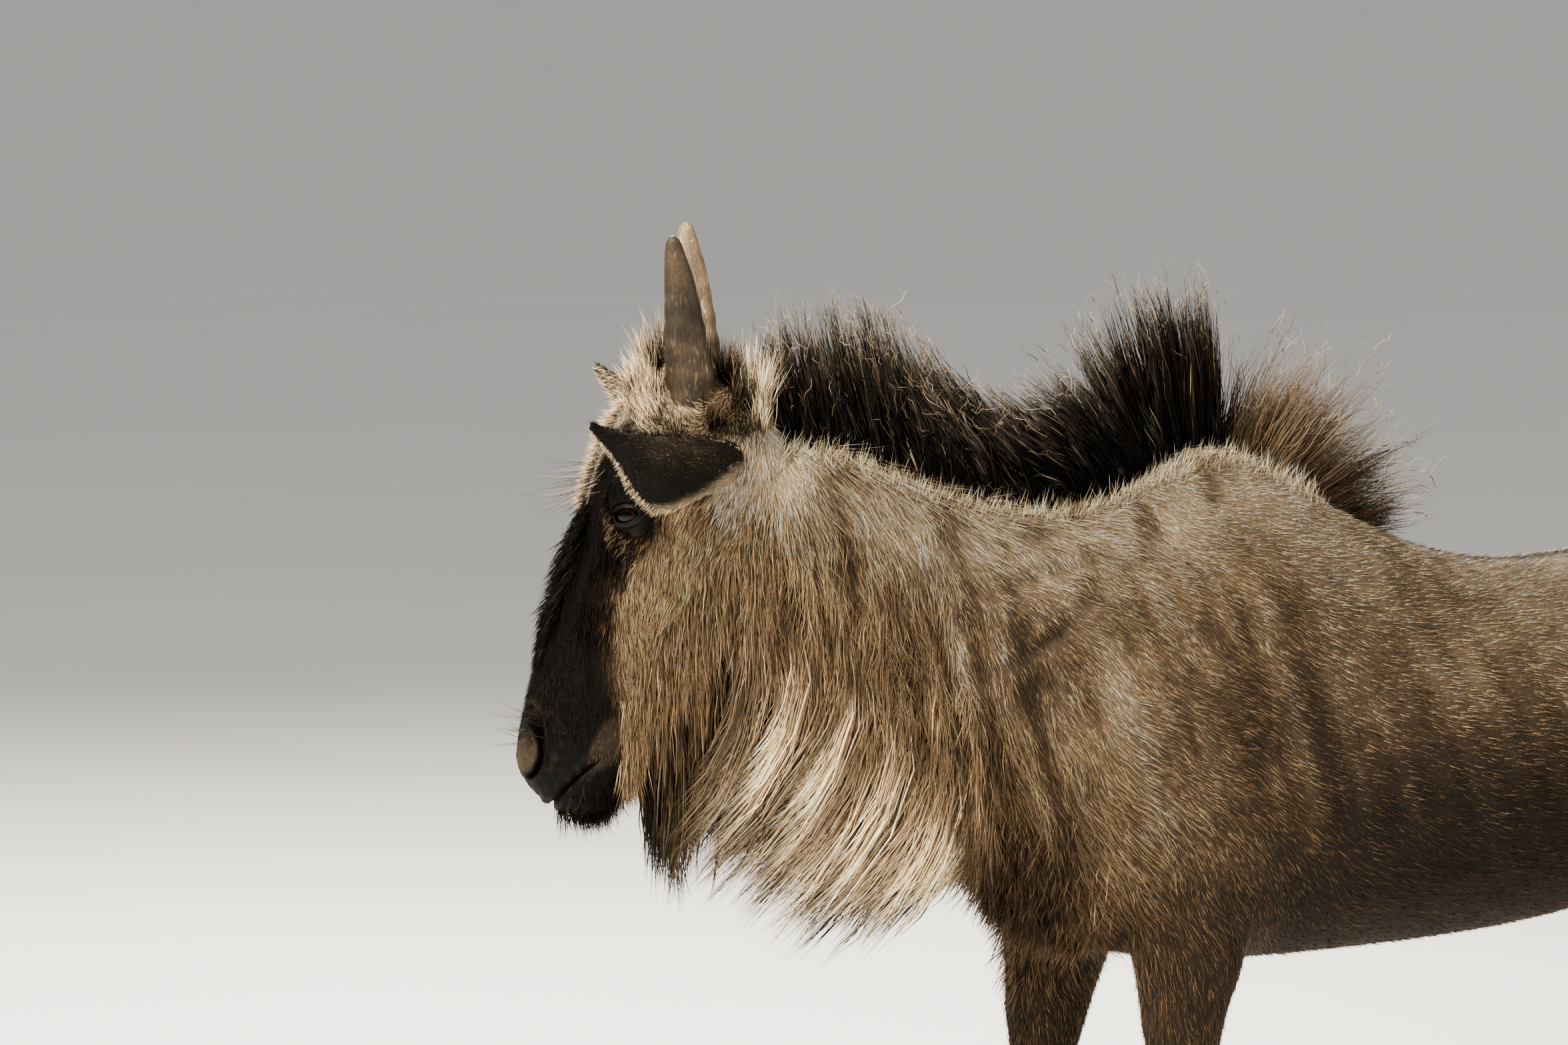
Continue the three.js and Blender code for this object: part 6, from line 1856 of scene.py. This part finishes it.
class WILDEBEEST_OT_horns(bpy.types.Operator):
    """Horns with rings at the base and lengthwise grain"""
    bl_idname = "wildebeest.horns"
    bl_label = "Horns"

    def execute(self, context):
        for word, side in SIDES:
            # The right horn is painted lighter all over, as painted light falling on it; its own colour is
            # that of the left.
            painted_light = 1.0 if word == "left" else 1.75
            horn_piece(word, side, tone_of("horn_dark") * painted_light, tone_of("horn_light") * painted_light)
        return {"FINISHED"}


class WILDEBEEST_OT_hooves(bpy.types.Operator):
    """Cloven hooves and dew claws"""
    bl_idname = "wildebeest.hooves"
    bl_label = "Hooves"

    def execute(self, context):
        colours = (tone_of("hoof_dark"), tone_of("hoof_light"))
        for leg, (_, side, _, _) in LEGS.items():
            claw_piece(leg, "outer", side, *colours)
            claw_piece(leg, "inner", -side, *colours)
        dew_claws(*colours)
        return {"FINISHED"}


# Places that are tried for roots of the coat, of which one in each patch is kept
COAT_TRIALS = 2600000


class WILDEBEEST_OT_coat(bpy.types.Operator):
    """Short coat in tufts that lie along the body"""
    bl_idname = "wildebeest.coat"
    bl_label = "Coat"

    def execute(self, context):
        rng = np.random.default_rng(SEEDS["coat"])
        everything = sample_skin(rng, COAT_TRIALS)
        place, part = everything[0], everything[3]
        x, z = place[:, 0], place[:, 2]
        body = part == BODY
        longer = body & (z > 480) & (x < -120) & (from_folds(x, z) > 85)
        longer &= rng.random(len(x)) < 0.42 * smooth(-120, -260, x) + 0.3 * smooth(700, 560, z)
        for name, chosen, slot, lift, stretch in (
            ("coat_neck", body & (x < -170) & (z > 420) & ~longer, "hide", 0.2, 1.0),
            ("coat_long", longer, "hide", 0.26, 2.2),
            ("coat_shoulders", body & (x >= -170) & (x < 60) & (z > 420) & ~longer, "hide", 0.18, 1.0),
            ("coat_flanks", body & (x >= 60) & (x < 400) & (z > 420), "hide", 0.16, 1.0),
            ("coat_rump", body & (x >= 400) & (z > 420), "hide", 0.16, 1.0),
            ("coat_legs", body & (z <= 420), "lower_leg", 0.12, 1.0),
            ("coat_face", part == HEADPART, "hide", 0.2, 1.0),
            ("coat_ears", part == EARPART, "ear_skin", 0.12, 1.0),
        ):
            coat_piece(name, slot, rng, tuple(values[chosen] for values in everything), lift, stretch)
        return {"FINISHED"}


class WILDEBEEST_OT_mane(bpy.types.Operator):
    """Mane along the crest of the neck, the fan of hair behind it and the pale fringe at its roots"""
    bl_idname = "wildebeest.mane"
    bl_label = "Mane"

    def execute(self, context):
        width = context.scene.wildebeest_sizes.hair_width
        black, pale = tone_of("black"), tone_of("pale")
        rng = np.random.default_rng(SEEDS["mane"])
        core = mane_guides(rng, 0.6, 12, 320, black * 0.7, black * 0.7, width * 3.0, 0.3)
        core["tip"] = mix(core["root"], core["tip"], 0.66)
        strands("mane_core", "dark hair", "dark_hair", children(rng, core, 6), rings=2)
        ends = []
        for name, low, high, count, clumped in (
            ("mane_front", 0.7, 5, 300, 0.9), ("mane_back", 4.6, 12, 360, 0.6),
        ):
            guides = mane_guides(rng, low, high, count, black * 0.8, pale * 0.8, width, clumped)
            ends.append(guides)
            strands(name, "dark hair", "dark_hair", children(rng, guides, LOCK), rings=3)
        fan = fan_guides(rng, 250, tone_of("dark"), mix(tone_of("hide"), pale, 0.2), width * 0.55)
        ends.append(fan)
        strands("mane_fan", "hair", "dark_hair", children(rng, fan, LOCK), rings=3)
        curls = [curly_tips(rng, guides, 420, pale, 0.75) for guides in ends]
        joined = {
            key: np.concatenate([hairs[key] for hairs in curls]) if np.ndim(value) else value
            for key, value in curls[0].items()
        }
        strands("mane_tips", "hair", "dark_hair", joined, rings=6)
        strands("mane_fringe", "hair", "hide", crest_fringe(rng, 5200), rings=1)
        return {"FINISHED"}


class WILDEBEEST_OT_beard(bpy.types.Operator):
    """Beard of the throat and of the jaw, the hair that falls over its roots, and that of the chest"""
    bl_idname = "wildebeest.beard"
    bl_label = "Beard"

    def execute(self, context):
        width = context.scene.wildebeest_sizes.hair_width
        rng = np.random.default_rng(SEEDS["beard"])
        throat = beard_guides(rng, 350, width * 0.9)
        strands("beard_throat", "hair", "dark_hair", children(rng, throat, FULL_LOCK), rings=4)
        strands("neck_veil", "hair", "hide", neck_veil(rng, 7500), rings=2)
        jaw = jaw_guides(rng, 170, width * 1.1)
        strands("beard_jaw", "dark hair", "dark_hair", children(rng, jaw, LOCK), rings=3)
        strands("cheek_locks", "hair", "hide", cheek_locks(rng, 5600), rings=2)
        # Hairs along the ridge are painted pale as a painted highlight, and those along two creases dark as
        # painted shade.
        folds = [(NECK_RIDGE, 800, (0.4, -0.35, -0.8), 10, tone_of("pale") * 0.9)]
        folds += [(line, 700, (0.3, -0.2, -1), 8, tone_of("dark") * 0.5) for line, _, _ in SHADED_CREASES[1:3]]
        for index, fold in enumerate(folds):
            strands(f"neck_fold_{index + 1}", "hair", "hide", fold_hairs(rng, *fold), rings=1)
        strands("chest_locks", "hair", "hide", chest_locks(rng, 1800), rings=2)
        return {"FINISHED"}


class WILDEBEEST_OT_head_hair(bpy.types.Operator):
    """Tufts of the crown and forehead, the brush of the nose, the chin, and the hair of the ears"""
    bl_idname = "wildebeest.head_hair"
    bl_label = "Hair of the head"

    def execute(self, context):
        black = tone_of("black")
        rng = np.random.default_rng(SEEDS["head_hair"])
        crown = crown_hairs(rng, 150, black * 1.9, tone_of("pale"))
        for name, finish_of, hairs, rings in (
            ("crown", "hair", crown, 2), ("forehead_fringe", "hair", forehead_fringe(rng, 1700), 2),
            ("nose_brush", "dark hair", nose_brush(rng, 1900, black), 3),
            ("face_veil", "dark hair", face_veil(rng, 1800, black), 2),
            ("brow_hair", "dark hair", brow_hair(rng, 1500, black * 1.8), 2),
            ("chin_hair", "dark hair", chin_hairs(rng, 1900, black * 1.4), 2),
            ("ear_hair_left", "hair", ear_hairs(rng, "left", 2000), 2),
            ("ear_hair_right", "hair", ear_hairs(rng, "right", 2000), 2),
        ):
            strands(name, finish_of, "dark_hair" if finish_of == "dark hair" else "hide", hairs, rings)
        return {"FINISHED"}


class WILDEBEEST_OT_tail(bpy.types.Operator):
    """Long hair of the tail"""
    bl_idname = "wildebeest.tail"
    bl_label = "Tail"

    def execute(self, context):
        rng = np.random.default_rng(SEEDS["tail"])
        guides = tail_guides(rng, 120, tone_of("black"))
        strands("tail_hair", "dark hair", "dark_hair", children(rng, guides, LOCK), rings=4)
        return {"FINISHED"}


# Lashes of one eye
LASHES = 60


class WILDEBEEST_OT_whiskers(bpy.types.Operator):
    """Whiskers of the muzzle and brow, and lashes of the upper lids"""
    bl_idname = "wildebeest.whiskers"
    bl_label = "Whiskers"

    def execute(self, context):
        rng = np.random.default_rng(SEEDS["whiskers"])
        black, pale = tone_of("black"), tone_of("pale")
        muzzle, brow, dark_brow, lashes = [], [], [], []
        for side in (-1, 1):
            for s, h, way, count in ((350, 66, (0.35, 0.35, 1), 18), (398, -24, (1, 0.3, -0.2), 12)):
                spot = head_point(s + rng.uniform(-20, 20, count), side * 60, h + rng.uniform(-24, 24, count))
                way = head_direction(way[0], side * way[1], way[2]) + tangled(rng, count, 0.25)
                muzzle.append((onto_skin(spot, 1), way, rng.uniform(20, 48, count)))
            for rows, count in ((brow, 9), (dark_brow, 15)):
                spot = head_point(rng.uniform(86, 122, count), side * rng.uniform(22, 54, count), 120)
                way = head_direction(1.0, side * 0.15, 0.7) + tangled(rng, count, 0.2)
                rows.append((onto_skin(spot, 1), way, rng.uniform(34, 84, count)))
            centre, gaze, long, across = eye_frame(side)
            across = across * np.sign(across[2])
            t = rng.uniform(0.12, 0.88, LASHES) * math.pi
            edge = long * (np.cos(t) * 13.6)[:, None] + across * (np.sin(t) ** 1.15 * 7.4)[:, None]
            deep = np.sqrt(19.0 ** 2 - (edge ** 2).sum(1))
            way = gaze + across * 0.2 + long * (np.cos(t) * 0.5)[:, None] + FALL * 0.5
            lashes.append((centre + edge + gaze * deep[:, None], way, rng.uniform(8, 14, LASHES)))
        bristles("muzzle_whiskers", "dark hair", muzzle, 0.4, 7, black * 2.4)
        bristles("brow_whiskers", "hair", brow, 0.28, 16, pale * 0.8)
        bristles("dark_whiskers", "dark hair", dark_brow, 0.36, 12, black * 2)
        bristles("lashes", "dark hair", lashes, 0.3, 3, black)
        return {"FINISHED"}


# Stage: the camera looks from the photograph's side, from far off. Its aim is to the right, up and near.
VIEW_AZIMUTH, VIEW_ELEVATION = math.radians(-25), math.radians(5)
VIEW_AIM = (-414, 933, 165)
VIEW_DISTANCE = 9.0
SENSOR_WIDTH = 36
# The length of the lens in pixels of the photograph, and the photograph's width in pixels
VIEW_PIXELS, PHOTO_WIDTH = 13860, 2352
VIEW_LENS = VIEW_PIXELS * SENSOR_WIDTH / PHOTO_WIDTH
FLOOR_REACH = 80.0
# Each light: its place, size and power. All point at the middle of the animal.
LIGHTS = {
    "key": ((-3.6, -1.6, 4.6), 1.2, 600),
    "fill": ((1.5, -5.5, 3.2), 2.2, 130),
    "rim": ((0.6, 4.0, 4.2), 1.5, 520),
}
LIGHTS_AIM = np.array([-0.3, 0, 0.85])
LIGHT_TONE = (1, 0.94, 0.85)
SKY_TONE, SKY_STRENGTH = (0.98, 0.96, 0.94, 1), 0.45


def place_camera(scene, aim, back):
    data = bpy.data.cameras.new("camera")
    data.lens = VIEW_LENS
    data.sensor_width = SENSOR_WIDTH
    data.clip_end = 100
    camera = bpy.data.objects.new("camera", data)
    camera.location = aim + back * VIEW_DISTANCE
    camera.rotation_euler = Vector(-back).to_track_quat("-Z", "Y").to_euler()
    scene.collection.objects.link(camera)
    scene.camera = camera


def place_light(scene, name, place, size, power):
    data = bpy.data.lights.new(name, "AREA")
    data.color = LIGHT_TONE
    data.energy = power
    data.size = size
    lamp = bpy.data.objects.new(name, data)
    lamp.location = place
    lamp.rotation_euler = Vector(np.array(place) - LIGHTS_AIM).to_track_quat("Z", "Y").to_euler()
    scene.collection.objects.link(lamp)


def stage_material():
    material = bpy.data.materials.new("pale floor")
    material.use_nodes = True
    tree = material.node_tree
    shader = tree.nodes["Principled BSDF"]
    shader.inputs["Roughness"].default_value = 0.9
    place = add_node(tree.nodes, "ShaderNodeTexCoord")
    grey = add_node(tree.nodes, "ShaderNodeTexNoise", {"Scale": 1.5})
    ramp = add_node(tree.nodes, "ShaderNodeValToRGB")
    ramp.color_ramp.elements[0].color = (0.78, 0.77, 0.75, 1)
    ramp.color_ramp.elements[1].color = (0.82, 0.81, 0.79, 1)
    join(
        tree, (place, "Object", grey, "Vector"), (grey, "Fac", ramp, "Fac"),
        (ramp, "Color", shader, "Base Color"))
    return material


class WILDEBEEST_OT_stage(bpy.types.Operator):
    """Floor, soft lights and camera"""
    bl_idname = "wildebeest.stage"
    bl_label = "Stage"

    def execute(self, context):
        scene = context.scene
        flat = math.cos(VIEW_ELEVATION)
        back = np.array([
            math.sin(VIEW_AZIMUTH) * flat, -math.cos(VIEW_AZIMUTH) * flat, math.sin(VIEW_ELEVATION),
        ])
        right = unit(np.cross(-back, [0, 0, 1.0]))
        up = np.cross(right, -back)
        aim_right, aim_up, aim_back = VIEW_AIM
        place_camera(scene, (aim_right * right + aim_up * up + aim_back * back + SHIFT) / 1000, back)

        away = unit(-back * np.array([1, 1, 0]))
        points = np.array([
            (right * along + away * across) * FLOOR_REACH * 1000 - SHIFT
            for along, across in ((-1, -1), (1, -1), (1, 1), (-1, 1))])
        floor = object_of("floor", mesh_of("floor", points, [[0, 1, 2, 3]]), stage_material())

        world = bpy.data.worlds.new("studio")
        world.use_nodes = True
        sky = world.node_tree.nodes["Background"]
        sky.inputs["Color"].default_value = SKY_TONE
        sky.inputs["Strength"].default_value = SKY_STRENGTH
        scene.world = world
        scene.view_settings.look = "AgX - Medium High Contrast"
        for name, values in LIGHTS.items():
            place_light(scene, name, *values)
        return {"FINISHED"}


STEPS = ("skin", "eyes", "horns", "hooves", "coat", "mane", "beard", "head_hair", "tail", "whiskers", "stage")


class WILDEBEEST_PT_panel(bpy.types.Panel):
    """The animal's sizes, colours and steps"""
    bl_label = "Wildebeest"
    bl_idname = "WILDEBEEST_PT_panel"
    bl_space_type = "VIEW_3D"
    bl_region_type = "UI"
    bl_category = "Wildebeest"

    def draw(self, context):
        for group in (context.scene.wildebeest_sizes, context.scene.wildebeest_colours):
            box = self.layout.box()
            for name in group.__annotations__:
                box.prop(group, name)
        for step in STEPS:
            self.layout.operator(f"wildebeest.{step}")


CLASSES = (
    WildebeestSizes, WildebeestColours, WILDEBEEST_OT_skin, WILDEBEEST_OT_eyes, WILDEBEEST_OT_horns,
    WILDEBEEST_OT_hooves, WILDEBEEST_OT_coat, WILDEBEEST_OT_mane, WILDEBEEST_OT_beard,
    WILDEBEEST_OT_head_hair,
    WILDEBEEST_OT_tail, WILDEBEEST_OT_whiskers, WILDEBEEST_OT_stage, WILDEBEEST_PT_panel,
)


def register():
    for each in CLASSES:
        bpy.utils.register_class(each)
    bpy.types.Scene.wildebeest_sizes = bpy.props.PointerProperty(type=WildebeestSizes)
    bpy.types.Scene.wildebeest_colours = bpy.props.PointerProperty(type=WildebeestColours)


def unregister():
    del bpy.types.Scene.wildebeest_colours
    del bpy.types.Scene.wildebeest_sizes
    for each in reversed(CLASSES):
        bpy.utils.unregister_class(each)


def main():
    register()
    for step in STEPS:
        getattr(bpy.ops.wildebeest, step)()


if __name__ == "__main__":
    main()
